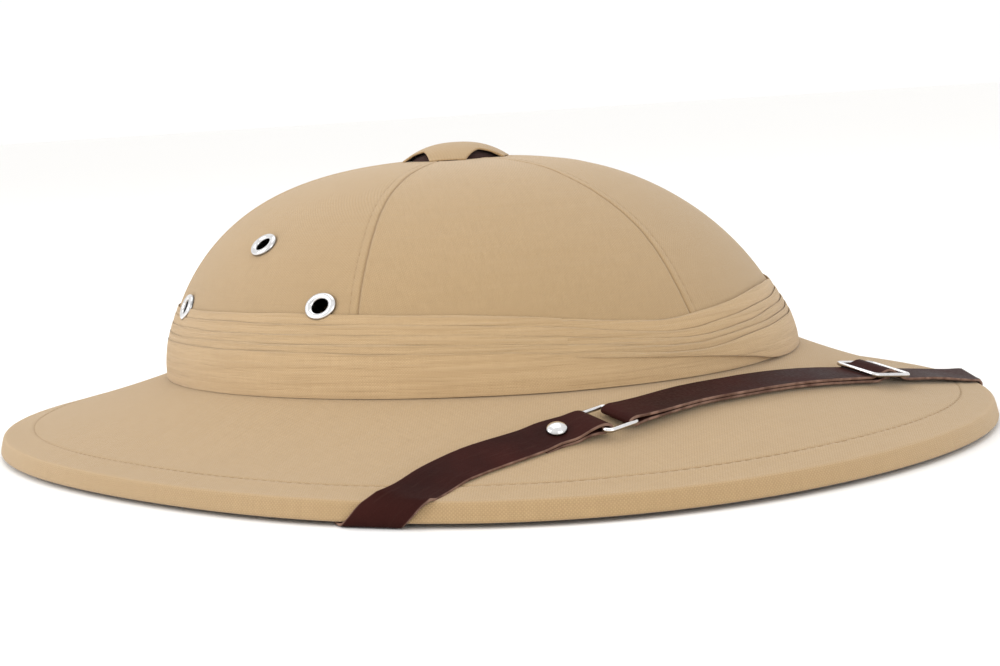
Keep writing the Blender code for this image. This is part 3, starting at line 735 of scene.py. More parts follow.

# Relief of the cloth, and its tone of painted highlight and painted shade: by distance from a seam, by inset
# from the ridge of the rim, by height over the rim's foot, and by share of the brim's width
SEAM_RELIEF = (
    Bump(0.00012, 0.0015, 0.0022),
    Bump(0.00006, -0.0010, 0.0009),
    Bump(-0.00036, 0, 0.00036),
    Bump(-0.00008, STITCH_OFFSET, 0.00040),
)
SEAM_PUCKER = Bump(0.00006, 0.001, 0.0045)
# Painted highlight on the welt, painted shade in the seam and along the stitched line
SEAM_TONE = (
    Bump(0.12, 0.0014, 0.0008),
    Bump(-0.80, 0, 0.00036),
    Bump(-0.22, STITCH_OFFSET, 0.0004),
)
EDGE_RELIEF = (
    Bump(-0.00018, BRIM_STITCH_INSET, 0.00045),
    Bump(0.00010, BRIM_STITCH_INSET - 0.0016, 0.0012),
    Bump(0.00006, BRIM_STITCH_INSET + 0.0014, 0.0010),
)
EDGE_PUCKER = Bump(0.00005, BRIM_STITCH_INSET, 0.003)
# Painted highlight on the ridge of the rim; painted shade in the brim's stitched line, at the rim's foot and
# on the brim beside the crown
EDGE_TONE = (Bump(0.35, 0, 0.0012), Bump(-0.22, BRIM_STITCH_INSET, 0.0004))
RIM_TONE = (Bump(0.45, RIDGE_HEIGHT, 0.0007), Bump(-0.35, 0, 0.0006))
CROWN_FOOT_TONE = (Bump(-0.5, 0, 0.03),)

# Rings of the shell: shares of the way over the brim, insets from the ridge of the rim, and insets from
# the rim's outline with heights over its foot. The crown's rings are measured off at one turn.
CROWN_LEVELS = 58
MEASURED_LEVELS = 3000
MEASURED_TURN = 60
BRIM_SHARES = (0.02, 0.05, 0.09, 0.14, 0.2, 0.27, 0.34, 0.41, 0.48, 0.55, 0.62, 0.69)
EDGE_START = 0.0165
EDGE_INSETS = (
    0.0150, 0.0130, 0.0119, 0.0113, 0.0109, 0.0106, 0.0103, 0.0100, 0.0097, 0.0094, 0.0091,
    0.0087, 0.0081, 0.0070, 0.0056, 0.0042, 0.0030, 0.0020, 0.0013, 0.0008, 0.0004,
)
RIM_SECTION = (
    (0.0020, 0.0060), (0.00162, 0.00582), (0.00132, 0.00552), (0.00110, 0.00508),
    (0.00088, 0.00440), (0.00062, 0.00350), (0.00036, 0.00250), (0.00016, 0.00160),
    (0.00004, 0.00095), (0.00004, 0.00050), (0.00018, 0.00020), (0.00046, 0.00002),
)
FOOT_SECTION = (
    (0.0012, 0.0), (FOOT_WIDTH - 0.0004, 0.0), (FOOT_WIDTH + 0.0002, 0.0003),
    (0.0034, 0.0016), (0.0041, 0.0029),
)
UNDER_SHARES = (0.88, 0.78, 0.66, 0.54, 0.42, 0.3, 0.18, 0.08)
Level = namedtuple("Level", "zone at height", defaults=(0,))


def even_crown_levels(count):
    """Shares of the crown's height from the vent to its base, evenly spaced over its surface."""
    start = crown_up(VENT_HALF_WIDTH / CROWN_HALF_WIDTH)
    fine = [start * (1 - i / MEASURED_LEVELS) for i in range(MEASURED_LEVELS + 1)]
    lengths = run_lengths([crown_point(MEASURED_TURN, up) for up in fine])
    levels, i = [], 0
    for k in range(count):
        aim = lengths[-1] * k / (count - 1)
        while i < len(fine) - 1 and lengths[i] < aim:
            i += 1
        levels.append(fine[i])
    return levels


def shell_levels():
    """The rings of the shell from the vent down its outside, under its foot and up its inside."""
    ups = even_crown_levels(CROWN_LEVELS)
    levels = [Level("crown", up) for up in ups]
    levels += [Level("brim", share) for share in BRIM_SHARES]
    levels += [Level("edge", inset) for inset in EDGE_INSETS]
    levels += [Level("rim", inset, height) for inset, height in RIM_SECTION]
    levels += [Level("foot", inset, height) for inset, height in FOOT_SECTION]
    levels += [Level("under", share) for share in UNDER_SHARES]
    levels += [Level("corner", 0)]
    levels += [Level("inside", up) for up in ups[::-3]]
    return levels


LEVELS = shell_levels()


def seam_turn(seam, up):
    """The turn of a seam at a share of the crown's height: some seams bow a little."""
    return SEAM_TURNS[seam] + rise(SEAM_BOWS[seam], up)


def seam_radius(up):
    """The radius that makes a distance beside a seam a turn, kept wide enough near the vent."""
    return max(CROWN_HALF_WIDTH * crown_girth(up), SEAM_CROWDING)


def level_turn(column, level):
    """The turn of a column at a level: the columns beside a seam keep their distance from it."""
    seam, place = divmod(column, PANEL_COLUMNS)
    if seam == len(SEAM_TURNS):
        return level_turn(column - COLUMNS, level) + 360
    up = level.at if level.zone in ("crown", "inside") else 0
    radius = seam_radius(up)
    here, after = seam_turn(seam, up), seam_turn((seam + 1) % len(SEAM_TURNS), up)
    after += 360 if seam == len(SEAM_TURNS) - 1 else 0
    half = len(BESIDE_SEAM)
    if place <= half:
        return here + math.degrees(SEAM_OFFSETS[half + place] / radius)
    if place >= PANEL_COLUMNS - half:
        return after + math.degrees(SEAM_OFFSETS[place - PANEL_COLUMNS + half] / radius)
    low = here + math.degrees(SEAM_OFFSETS[-1] / radius)
    high = after + math.degrees(SEAM_OFFSETS[0] / radius)
    return lerp(low, high, (place - half) / PANEL_STEPS)


def from_seam(turn, up):
    """Signed distance along the crown from the nearest seam, positive towards its topstitching."""
    nearest = round((turn - SEAM_TURNS[0]) / 60) % len(SEAM_TURNS)
    seam = seam_turn(nearest, up)
    distance = math.radians((turn - seam + 180) % 360 - 180) * seam_radius(up)
    return distance * STITCH_SIDES[nearest], seam


def seam_relief(turn, up):
    """How far the crown's cloth stands out near a seam: a welt, a lip, a pinched and a stitched line."""
    distance, seam = from_seam(turn, up)
    if abs(distance) > SEAM_REACH:
        return 0.0
    along = (1 - up) * 90 + seam
    pucker = rise([SEAM_PUCKER], distance) * math.sin(along * 1.05 + math.sin(along * 0.31) * 1.5)
    return (pucker + rise(SEAM_RELIEF, distance)) * clamp(up / SEAM_FADE)


def edge_out(turn, inset):
    """The share of the way out over the brim, at an inset from the ridge of the rim."""
    ridge = rim_point(turn, RIDGE_INSET, RIDGE_HEIGHT)
    return 1 - inset / level_distance(crown_point(turn, 0), ridge)


def inner_corner(turn):
    """Where the inside of the crown meets the underside of the brim."""
    wall = outward(crown_point, turn, 0.002)
    level = Vector((wall.x, wall.y, 0)).normalized()
    top, below = brim_point(turn, 0), brim_point(turn, 0.02)
    slope = (top.z - below.z) / level_distance(top, below)
    corner = crown_point(turn, 0) - level * SHELL_WALL
    corner.z += SHELL_WALL * slope - SHELL_WALL * math.sqrt(1 + slope * slope)
    return corner


@cache
def shell_form(column, row):
    """A point of the cloth-covered shell."""
    level = LEVELS[row]
    turn = level_turn(column, level)
    if level.zone == "crown":
        out = outward(crown_point, turn, level.at)
        return crown_point(turn, level.at) + out * seam_relief(turn, level.at)
    if level.zone == "brim":
        share = level.at / BRIM_SHARES[-1] * edge_out(turn, EDGE_START)
        return brim_point(turn, share)
    if level.zone == "edge":
        share = edge_out(turn, level.at)
        pucker = rise([EDGE_PUCKER], level.at) * math.sin(turn * 2.1 + math.sin(turn * 0.4))
        relief = pucker + rise(EDGE_RELIEF, level.at)
        return brim_point(turn, share) + outward(brim_point, turn, share) * relief
    if level.zone in ("rim", "foot"):
        return rim_point(turn, level.at, level.height)
    if level.zone == "under":
        return brim_point(turn, level.at) - outward(brim_point, turn, level.at) * SHELL_WALL
    if level.zone == "corner":
        return inner_corner(turn)
    return crown_point(turn, level.at) - outward(crown_point, turn, level.at) * SHELL_WALL


def shell_cloth(column, row, middle):
    """Where a point of the shell lies on the flat cloth, panel by panel."""
    level = LEVELS[row]
    zone = LEVELS[int(middle[1])].zone
    place = shell_form(column % COLUMNS, row)
    turn = level_turn(column, level)
    if zone in ("crown", "inside"):
        panel = int(middle[0] // PANEL_COLUMNS)
        away = math.radians(turn - SEAM_TURNS[panel] - 30)
        radius = math.hypot(place.x, place.y - CROWN_BACK - CROWN_LEAN / 2)
        return radius * math.sin(away), (1 - level.at) * 0.13 + panel * 0.37
    if zone in ("rim", "foot"):
        return math.radians(turn) * 0.165, place.z
    return place.x, place.y + 0.5


def shell_tone(column, row):
    """Darker in the seams and stitched lines, at the rim's foot and on the brim by the crown, as painted
    shade; lighter on the ridge and the welts, as painted highlight.
    """
    level = LEVELS[row]
    if level.zone == "crown":
        return rise(SEAM_TONE, from_seam(level_turn(column, level), level.at)[0])
    if level.zone == "edge":
        return rise(EDGE_TONE, level.at)
    if level.zone == "rim":
        return rise(RIM_TONE, level.height)
    if level.zone == "brim":
        return rise(CROWN_FOOT_TONE, level.at)
    return 0.0


def make_shell(finish):
    """The crown, brim and rim in one skin, with seams, welts and stitched lines pressed in."""
    shell, marks = drawn_tube("crown_and_brim", COLUMNS, len(LEVELS))
    close_tube(shell)
    settle(shell, marks, shell_form)
    map_form(shell, "cloth", marks, shell_cloth, COLUMNS)
    lay_tone(shell, [shell_tone(*mark) for mark in marks])
    face_out(shell)
    drill_eyelets(shell, EYELET_BARREL + DRILL_GAP, SHELL_WALL * 3)
    dress(shell, finish, "helmet_shell", slot="khaki_cloth")
    shade(shell, 50)


# Stitching

STITCH_HALF_SIZE = (0.0012, 0.000275, 0.00022)
STITCH_SUNK = 0.00012
SEAM_STITCH_PITCH = 0.0031
BRIM_STITCH_PITCH = 0.0033


def sew(name, spots, finish):
    """Copies of one thread stitch, laid at frames whose X runs along the seam."""
    clear_selection()
    bpy.ops.mesh.primitive_uv_sphere_add(segments=6, ring_count=4, radius=1)
    first = named("stitch")
    edit(first)
    bpy.ops.transform.rotate(value=math.pi / 2, orient_axis="Y", center_override=(0, 0, 0))
    bpy.ops.transform.resize(value=STITCH_HALF_SIZE, center_override=(0, 0, 0))
    bpy.ops.object.mode_set(mode="OBJECT")
    stitches = []
    for spot in spots:
        copy = first.copy()
        copy.data = first.data.copy()
        copy.data.transform(spot)
        bpy.context.scene.collection.objects.link(copy)
        stitches.append(copy)
    bpy.data.objects.remove(first)
    sewn = join(name, stitches)
    dress(sewn, finish, slot="khaki_cloth")
    shade(sewn, 60)


def seam_stitches():
    """Frames of the topstitching beside the crown's seams."""
    spots = []
    ups = [up for up in even_crown_levels(900) if 0.20 < up < crown_up(0.20)]
    for seam, side in enumerate(STITCH_SIDES):
        path = []
        for up in ups:
            turn = seam_turn(seam, up) + side * math.degrees(STITCH_OFFSET / seam_radius(up))
            path.append((crown_point(turn, up), outward(crown_point, turn, up)))
        spots += along_path(path, SEAM_STITCH_PITCH)
    return spots


def brim_stitches():
    """Frames of the stitched line round the brim."""
    path = []
    for i in range(1800):
        turn = i * 0.2
        share = edge_out(turn, BRIM_STITCH_INSET)
        path.append((brim_point(turn, share), outward(brim_point, turn, share)))
    return along_path(path + path[:1], BRIM_STITCH_PITCH)


def along_path(path, pitch):
    """Frames evenly spaced along points with normals, sunk a little into the cloth."""
    spots, run, due = [], 0.0, pitch
    for (here, normal), (after, _) in zip(path, path[1:]):
        run += (after - here).length
        if run >= due:
            spots.append(stand(here - normal * STITCH_SUNK, normal, after - here))
            due += pitch
    return spots


# Pleated band

# Round the crown from the end beneath to the end on top: heights over the crown's base in mm, of the
# hem and of the upper edges of the wide fold, three narrow folds and the top fold
Edge = namedtuple("Edge", "turn hem wide second third fourth top")
BAND_EDGES = (
    Edge(-24, 0.0, 1.5, 3.4, 5.4, 7.6, 10.4),
    Edge(-12, 0.0, 4.0, 6.0, 8.0, 9.8, 13.0),
    Edge(0, 0.0, 6.2, 8.2, 10.4, 12.2, 15.0),
    Edge(8, 0.0, 7.6, 9.8, 11.9, 13.6, 16.6),
    Edge(16, 0.0, 8.8, 11.4, 13.6, 15.6, 18.4),
    Edge(27, 0.0, 10.6, 13.2, 15.6, 18.2, 21.1),
    Edge(38, 0.0, 11.9, 14.4, 16.9, 19.8, 22.9),
    Edge(60, 0.0, 12.8, 15.3, 18.2, 21.4, 24.5),
    Edge(110, 0.0, 13.4, 16.0, 18.9, 22.0, 24.9),
    Edge(200, 0.0, 13.0, 15.6, 18.4, 21.4, 24.6),
    Edge(260, 0.0, 11.6, 14.0, 16.6, 19.4, 22.4),
    Edge(300, 0.0, 10.4, 12.6, 15.0, 17.8, 20.8),
    Edge(318, 0.0, 10.2, 12.4, 14.8, 17.5, 20.9),
    Edge(327, 0.0, 10.1, 12.3, 14.7, 17.7, 21.8),
    Edge(335, 0.0, 10.0, 12.0, 14.3, 17.3, 21.9),
    Edge(344, 0.6, 9.5, 11.2, 13.3, 16.6, 20.9),
    Edge(351, 2.4, 8.9, 10.5, 12.5, 15.6, 19.9),
    Edge(357, 4.0, 8.0, 9.9, 11.9, 14.8, 18.9),
    Edge(362, 5.2, 7.3, 9.5, 11.6, 14.2, 18.2),
    Edge(368, 6.3, 7.7, 9.9, 12.0, 14.2, 17.6),
    Edge(376, 7.6, 9.2, 11.4, 13.6, 15.7, 18.8),
    Edge(386, 9.2, 10.8, 13.0, 15.4, 18.0, 20.9),
    Edge(392, 10.0, 11.4, 13.6, 16.1, 18.8, 21.8),
)
BAND_START = -24
BAND_END = 392
BAND_COLUMNS = 440
FACE_SHARES = (1.0, 0.88, 0.75, 0.61, 0.46)
EDGE_STRENGTHS = (1.0, 0.6, 0.65, 1.0, 0.8)
# How far the band stands off the crown, and how deep its folds are
Bulk = namedtuple("Bulk", "turn thickness relief")
BAND_BULK = (
    Bulk(-24, 0.0005, 0.2),
    Bulk(-8, 0.0008, 0.25),
    Bulk(12, 0.0009, 0.25),
    Bulk(22, 0.0010, 0.22),
    Bulk(31, 0.0013, 0.22),
    Bulk(60, 0.0013, 0.20),
    Bulk(110, 0.0013, 0.20),
    Bulk(200, 0.0015, 0.45),
    Bulk(290, 0.0019, 0.8),
    Bulk(320, 0.0022, 0.95),
    Bulk(340, 0.0024, 1.0),
    Bulk(355, 0.0022, 1.0),
    Bulk(362, 0.0018, 0.85),
    Bulk(370, 0.0015, 0.5),
    Bulk(380, 0.0013, 0.28),
    Bulk(386, 0.0012, 0.2),
    Bulk(392, 0.0008, 0.15),
)
# One fold from its foot to its upper edge: share of its height and mm beside it, depth, and tone: painted
# highlight on the upper edge, painted shade at the foot and behind the edge
Fold = namedtuple("Fold", "share height depth tone")
FOLD_SECTION = (
    Fold(0, -0.50, 0.00052, -0.9),
    Fold(0, -0.12, 0.00040, -0.8),
    Fold(0, 0.16, 0.00020, -0.35),
    Fold(0, 0.45, 0.00006, 0.0),
    Fold(0.35, 0, 0.0, 0.0),
    Fold(0.55, 0, -0.00004, 0.0),
    Fold(0.75, 0, -0.00003, 0.0),
    Fold(1, -0.42, 0.0, 0.12),
    Fold(1, -0.16, 0.00005, 0.4),
    Fold(1, -0.02, 0.00017, 0.45),
    Fold(1, 0.0, 0.00030, 0.0),
    Fold(1, -0.10, 0.00046, -0.6),
    Fold(1, -0.50, 0.00058, -0.9),
)
LINING_SHARES = (1.0, 0.8, 0.6, 0.4, 0.2, 0.0)
RIPPLES = ((5, 1.7, 0.4), (11, 3.1, 0.35), (23, 5.3, 0.25))


def ripple(turn, fold):
    """A slow, uneven wave between -1 and 1, different for each fold."""
    a = math.radians(turn)
    return sum(math.sin(a * count + fold * shift) * share for count, shift, share in RIPPLES)


def foot_height(turn, stand_off):
    """Height of the brim, in mm from the crown's base, at a distance out of the crown's wall."""
    inner, outer = crown_point(turn, 0), brim_point(turn, 0.1)
    return (outer.z - inner.z) / level_distance(inner, outer) * stand_off * 1000


def band_section(turn):
    """The band's section at a turn: heights in mm, stand-offs and tones of painted light and shade, up its
    face and down its back.
    """
    hem, *edges = smooth(BAND_EDGES, turn)
    thickness, relief = smooth(BAND_BULK, turn)
    points = []
    low = hem + (foot_height(turn, thickness) + 0.20) * max(1 - hem / 1.5, 0)
    strength = 0.8
    for k, (edge, share) in enumerate(zip(edges, FACE_SHARES)):
        face = thickness * share + 0.00006 * ripple(turn, k + 9)
        high = edge + 0.30 * ripple(turn, k)
        room = max(high - low, 0.3)
        tight = min(room / 1.6, 1)
        for fold in FOLD_SECTION:
            height = lerp(low, high, fold.share) + fold.height * tight
            if fold.share == 1:
                strength = EDGE_STRENGTHS[k]
            depth = fold.depth * relief * lerp(0.6, 1, strength)
            if k == 0 and fold.share == 0 and fold.height < 0.4:
                height = low + 0.10 * (1 - abs(fold.height))
            # Painted highlight on each fold's upper edge and painted shade at its foot and behind it,
            # fainter where the folds are shallow and halved at the hem
            tone = fold.tone * lerp(0.05, 1, relief) * strength
            if k == 0 and fold.share == 0:
                tone *= 0.5
            points.append((height, max(face - depth, 0.00025), tone))
        low = high
    top, back = points[-1][0], 0.00012
    # Painted shade on the band's back against the crown
    for share in LINING_SHARES:
        points.append((lerp(points[0][0] + 0.2, top, share), back, -0.6))
    return points


BAND_ROWS = len(band_section(0))


def make_band(finish):
    """The cloth band wound once round the crown, its end laid over its start at the front."""
    band, marks = drawn_sheet("cloth_band", BAND_COLUMNS, BAND_ROWS + 1)
    turns = [lerp(BAND_START, BAND_END, column / (BAND_COLUMNS - 1)) for column in range(BAND_COLUMNS)]
    sections = [band_section(turn) for turn in turns]
    lengths = run_lengths([crown_point(turn, 0.15) for turn in turns])

    def form(column, row):
        height, stand_off, _ = sections[column][row % BAND_ROWS]
        place = off_crown(turns[column], height / 1000, stand_off)
        place.z += min(height, 0) / 1000
        return place

    def cloth(column, row, _):
        height = sections[column][row % BAND_ROWS][0]
        return lengths[column], height / 1000 + row * 0.0003

    settle(band, marks, form)
    map_form(band, "cloth", marks, cloth)
    lay_tone(band, [sections[column][row % BAND_ROWS][2] for column, row in marks])
    face_out(band)
    edit(band)
    select_open_edges()
    bpy.ops.mesh.fill()
    face_out(band)
    drill_eyelets(band, EYELET_FLANGE + DRILL_GAP, SHELL_WALL * 6)
    dress(band, finish, "pleated_band", slot="band_cloth")
    shade(band, 60)


# Vent cap and collar

CAP_LEG_STEPS = 12


def cap_height(u, v):
    """Height of the cap's middle surface over the crown, for a place along its two pairs of legs."""
    reach = (abs(u) ** 2.6 + abs(v) ** 2.6) ** (1 / 2.6) / CAP_REACH
    return CAP_RISE * (1 - min(reach, 1) ** 2.4)


def crown_under(x, y):
    """Height of the crown's surface under a place beside its top, found in a few rounds."""
    up = 1.0
    for _ in range(8):
        girth = math.hypot(x / CROWN_HALF_WIDTH, (y - crown_middle(up)) / CROWN_HALF_LENGTH)
        up = crown_up(min(girth, 1))
    return lerp(BASE_MEAN, CROWN_TOP, up)


def lay_on_top(piece, height):
    """Carry a flat piece to the crown's top and bend it down over the crown."""
    piece.data.transform(Matrix.Translation((0, crown_middle(1), height)))
    for vertex in piece.data.vertices:
        vertex.co.z += crown_under(vertex.co.x, vertex.co.y)


def cap_form(x, y):
    """The place of a point of the flat cross on the bent cap, its legs narrowed from the corners out."""
    far, aside = (x, y) if abs(x) > abs(y) else (y, x)
    leg = clamp((abs(far) - CAP_CORNER) / (CAP_REACH - CAP_CORNER))
    aside *= lerp(CAP_LEG_WIDTH / 2 / CAP_CORNER, 1, (1 - leg) ** 1.2)
    u, v = (far, aside) if abs(x) > abs(y) else (aside, far)
    return Vector((u, v, cap_height(u, v)))


def draw_out_leg(cap, axis, sign):
    """In edit mode, draw one edge of the cap's square out into a leg, in even steps."""
    step = (CAP_REACH - CAP_CORNER) / CAP_LEG_STEPS
    for k in range(CAP_LEG_STEPS):
        edge = sign * (CAP_CORNER + k * step)

        def on_edge(place):
            return abs(place[1 - axis]) < CAP_CORNER + 1e-6 and abs(place[axis] - edge) < 1e-6

        select_where(cap, on_edge)
        bpy.ops.mesh.extrude_region_move(TRANSFORM_OT_translate={"value": move_along(axis, sign * step)})


def make_cap(finish, lining):
    """The cloth-covered cross over the vent: a square with four legs drawn out and bent down."""
    clear_selection()
    side = 2 * CAP_CORNER
    bpy.ops.mesh.primitive_grid_add(x_subdivisions=14, y_subdivisions=14, size=side, enter_editmode=True)
    cap = named("cloth_vent_cap")
    for axis in (0, 1):
        for sign in (1, -1):
            draw_out_leg(cap, axis, sign)
    bpy.ops.object.mode_set(mode="OBJECT")
    for vertex in cap.data.vertices:
        vertex.co = cap_form(vertex.co.x, vertex.co.y)
    modify(cap, "SOLIDIFY", thickness=CAP_WALL, offset=0)
    round_edges(cap, 0.00035, 50)
    map_flat(cap)
    dress(cap, finish, "vent_cap", slot="khaki_cloth")
    cap.data.materials.append(lining)
    for face in cap.data.polygons:
        if face.normal.z < -0.5:
            face.material_index = 1
    cap.data.transform(Matrix.Rotation(math.radians(90 - CAP_TURN), 4, "Z"))
    lay_on_top(cap, CAP_WALL / 2 + CAP_GAP)
    shade(cap, 50)


COLLAR_PROFILE = (
    (0.0084, -0.0028), (0.0084, -0.0010), (0.0084, 0.0010), (0.0084, 0.0026), (0.0086, 0.0034),
    (0.0092, 0.0037), (0.0100, 0.0035), (0.0112, 0.0030), (0.0124, 0.0025), (0.0136, 0.0018),
    (0.0148, 0.0011), (0.0156, 0.0005), (0.0159, 0.0001), (0.0157, -0.0003), (0.0110, -0.0004),
    (0.0090, -0.0005), (0.0088, -0.0012), (0.0088, -0.0028),
)


def make_collar(finish):
    """The dark collar round the vent hole, under the cap."""
    collar = turned_ring("vent_collar", COLLAR_PROFILE, 72)
    lay_on_top(collar, 0)
    map_flat(collar)
    dress(collar, finish, slot="khaki_cloth")
    shade(collar, 50)


# Eyelets

EYELET_PLACES = (
    ("front", 90 - EYELET_SPREAD, FRONT_EYELET_HEIGHT),
    ("top", 90, TOP_EYELET_HEIGHT),
    ("back", 90 + EYELET_SPREAD, REAR_EYELET_HEIGHT),
)
DRILL_GAP = 0.0001
FLANGE_RISE = 0.0012
ROLL_MIDDLE = 0.0037
ROLL_RADIUS = 0.0007


def eyelet_frames():
    """Name and seat of each eyelet."""
    frames = []
    oval = Matrix.Diagonal((EYELET_WIDENING, EYELET_FLATTENING, 1, 1))
    for side, sign in (("right", 1), ("left", -1)):
        for place, from_front, height in EYELET_PLACES:
            turn = sign * from_front
            up = (height - base_height(turn)) / (CROWN_TOP - base_height(turn))
            seat = stand(crown_point(turn, up), outward(crown_point, turn, up))
            frames.append((f"eyelet_{side}_{place}", seat @ oval))
    return frames


def drill_eyelets(piece, radius, depth):
    """Cut the six eyelet holes with one joined cutter."""
    drills = []
    for name, seat in eyelet_frames():
        clear_selection()
        bpy.ops.mesh.primitive_cylinder_add(vertices=40, radius=radius, depth=depth)
        drill = named(name + "_drill")
        drill.data.transform(seat)
        drills.append(drill)
    cutter = join("eyelet_drills", drills)
    modify(piece, "BOOLEAN", operation="DIFFERENCE", solver="EXACT", object=cutter)
    bpy.data.objects.remove(cutter)


def eyelet_profile():
    """Radii and heights of an eyelet: domed flange, barrel, and the edge rolled out inside the wall."""
    middle, half = (EYELET_HOLE + EYELET_FLANGE) / 2, (EYELET_FLANGE - EYELET_HOLE) / 2
    back = -SHELL_WALL - EYELET_BACK
    profile = []
    for k in range(17):
        angle = math.pi * k / 16
        profile.append((middle + half * math.cos(angle), 0.0002 + FLANGE_RISE * math.sin(angle) ** 0.8))
    profile += [(EYELET_HOLE, height) for height in (-0.0006, -0.0014, -0.0022, -0.0030)]
    for k in range(9):
        angle = math.pi * (1 + k / 8)
        profile.append((ROLL_MIDDLE + ROLL_RADIUS * math.cos(angle), back + ROLL_RADIUS * math.sin(angle)))
    return profile + [(EYELET_BARREL, back + 0.0003), (EYELET_BARREL, -0.0016), (EYELET_BARREL, 0.0)]


def make_eyelets(finish):
    """The chrome eyelets, three on each side."""
    for name, seat in eyelet_frames():
        eyelet = turned_ring("chrome_" + name, eyelet_profile(), 64)
        eyelet.data.transform(seat)
        lay_foot_shade(eyelet, seat, 0.0001, 0.0009)
        dress(eyelet, finish, name, slot="chrome")
        shade(eyelet, 50)


# Strap

# Over the brim, from the right rim to the left one
Route = namedtuple("Route", "turn out roll skew")
OVER_BRIM = (
    Route(52, 1.05, 7, 44),
    Route(50, 0.966, 9, 42),
    Route(46.5, 0.775, 13, 32),
    Route(43, 0.645, 14, 20),
    Route(35, 0.460, 7, 5),
    Route(31.5, 0.418, 5, 2),
    Route(28.8, 0.394, -2, 0),
    Route(25, 0.362, -4, 0),
    Route(12, 0.234, -4.5, 0),
    Route(0, 0.218, -4, 0),
    Route(-12, 0.276, -4, 0),
    Route(-24, 0.415, -4, SLIDE_SKEW),
    Route(-30, 0.508, -3, SLIDE_SKEW),
    Route(-37, 0.640, -2, -6),
    Route(-43, 0.800, 2, -22),
    Route(-48, 0.968, 5, -40),
    Route(-50, 1.05, 5, -42),
)
RIGHT_RIM_TURN = 50.4
LEFT_RIM_TURN = -48.7
RIM_CROSSING_ANGLE = 42.5
# From the ridge of the rim down and under it: distance along the rim, inset and height over its foot
Wrap = namedtuple("Wrap", "along inset height")
ROUND_RIM = (
    Wrap(0.0020, 0.0012, 0.0067),
    Wrap(0.0044, -0.0002, 0.0050),
    Wrap(0.0068, -0.0007, 0.0026),
    Wrap(0.0086, -0.0007, 0.0008),
    Wrap(0.0101, -0.0003, -0.0004),
    Wrap(0.0115, 0.0008, -0.0008),
    Wrap(0.0128, 0.0022, -0.0008),
    Wrap(0.0144, 0.0038, -0.0004),
    Wrap(0.0172, 0.0068, 0.0009),
)
# Under the brim: degrees past the crossing of the rim
Under = namedtuple("Under", "past out skew")
UNDER_BRIM = (
    Under(6.7, 0.825, 52),
    Under(10.6, 0.66, 28),
    Under(15.6, 0.50, 8),
    Under(20.6, 0.36, 0),
    Under(25.6, 0.25, 0),
    Under(30.6, 0.165, 0),
    Under(34.6, 0.115, 0),
)
# Heights of the strap's middle over the brim, by distance from the right rim
Lift = namedtuple("Lift", "at height")
UPPER_LIFT = STRAP_BED + STRAP_THICKNESS + 0.0001
FOLD_RADIUS = RING_WIRE + 0.0001 + STRAP_THICKNESS / 2
FOLD_REACH = FOLD_RADIUS + 0.0014
RING_LIFT = STRAP_BED + FOLD_RADIUS + 0.0009
BAR_WRAP = SLIDE_BAR + SEAT_GAP + STRAP_THICKNESS / 2
BAR_LIFT = UPPER_LIFT + BAR_WRAP + 0.0003
HUMP_LIFT = BAR_LIFT + BAR_WRAP
OUTER_BAR = SLIDE_SPAN / 2
RIGHT_BAR = RING_AT - RING_SPAN / 2
LEFT_BAR = RING_AT + RING_SPAN / 2
STATION_PITCH = 0.0015
RIM_STATIONS = 22
UNDER_STATIONS = 31
ACROSS_STRAP = (-1, -0.93, -0.6, -0.2, 0.2, 0.6, 0.93, 1)
RIGHT_LIFTS = (
    Lift(0.000, 0.0012),
    Lift(0.006, 0.0016),
    Lift(0.014, 0.0023),
    Lift(0.030, 0.0023),
    Lift(TAIL_END, UPPER_LIFT + 0.0002),
    Lift(STUD_AT - 0.0036, UPPER_LIFT + 0.0005),
    Lift(STUD_AT + 0.0036, UPPER_LIFT + 0.0009),
    Lift(RIGHT_BAR - 0.0020, RING_LIFT + FOLD_RADIUS - 0.0003),
    Lift(RIGHT_BAR, RING_LIFT + FOLD_RADIUS),
)
LEFT_LIFTS = (
    Lift(LEFT_BAR, RING_LIFT + FOLD_RADIUS),
    Lift(LEFT_BAR + 0.0020, RING_LIFT + FOLD_RADIUS - 0.0002),
    Lift(LEFT_BAR + 0.0140, UPPER_LIFT + 0.0014),
    Lift(LEFT_BAR + 0.0340, UPPER_LIFT + 0.0007),
    Lift(0.150, UPPER_LIFT + 0.0005),
    Lift(SLIDE_AT - OUTER_BAR - 0.004, UPPER_LIFT + 0.0005),
    Lift(SLIDE_AT - OUTER_BAR + 0.0004, UPPER_LIFT + 0.0005),
    Lift(SLIDE_AT - 0.0009, HUMP_LIFT - 0.0002),
    Lift(SLIDE_AT + 0.0009, HUMP_LIFT - 0.0002),
    Lift(SLIDE_AT + OUTER_BAR - 0.0004, UPPER_LIFT + 0.0003),
    Lift(SLIDE_AT + OUTER_BAR + 0.004, UPPER_LIFT - 0.0001),
    Lift(0.220, 0.0017),
    Lift(0.238, 0.0016),
    Lift(0.264, 0.0016),
)


def trace_route():
    """Turns along the route over the brim, each after its distance from the right rim."""
    turns = [lerp(RIGHT_RIM_TURN, LEFT_RIM_TURN, i / 50) for i in range(51)]
    places = [brim_point(turn, smooth(OVER_BRIM, turn)[0]) for turn in turns]
    return list(zip(run_lengths(places), turns))


TRACED = trace_route()
ROUTE_LENGTH = TRACED[-1][0]


def route_axes(at):
    """Point of the brim under the strap's middle, the way along it, the brim's normal, roll and skew."""
    turn = smooth(TRACED, at)[0]
    out, roll, skew = smooth(OVER_BRIM, turn)
    here = brim_point(turn, out)
    ahead = brim_point(turn - 1, smooth(OVER_BRIM, turn - 1)[0])
    behind = brim_point(turn + 1, smooth(OVER_BRIM, turn + 1)[0])
    return here, (ahead - behind).normalized(), outward(brim_point, turn, out), roll, skew


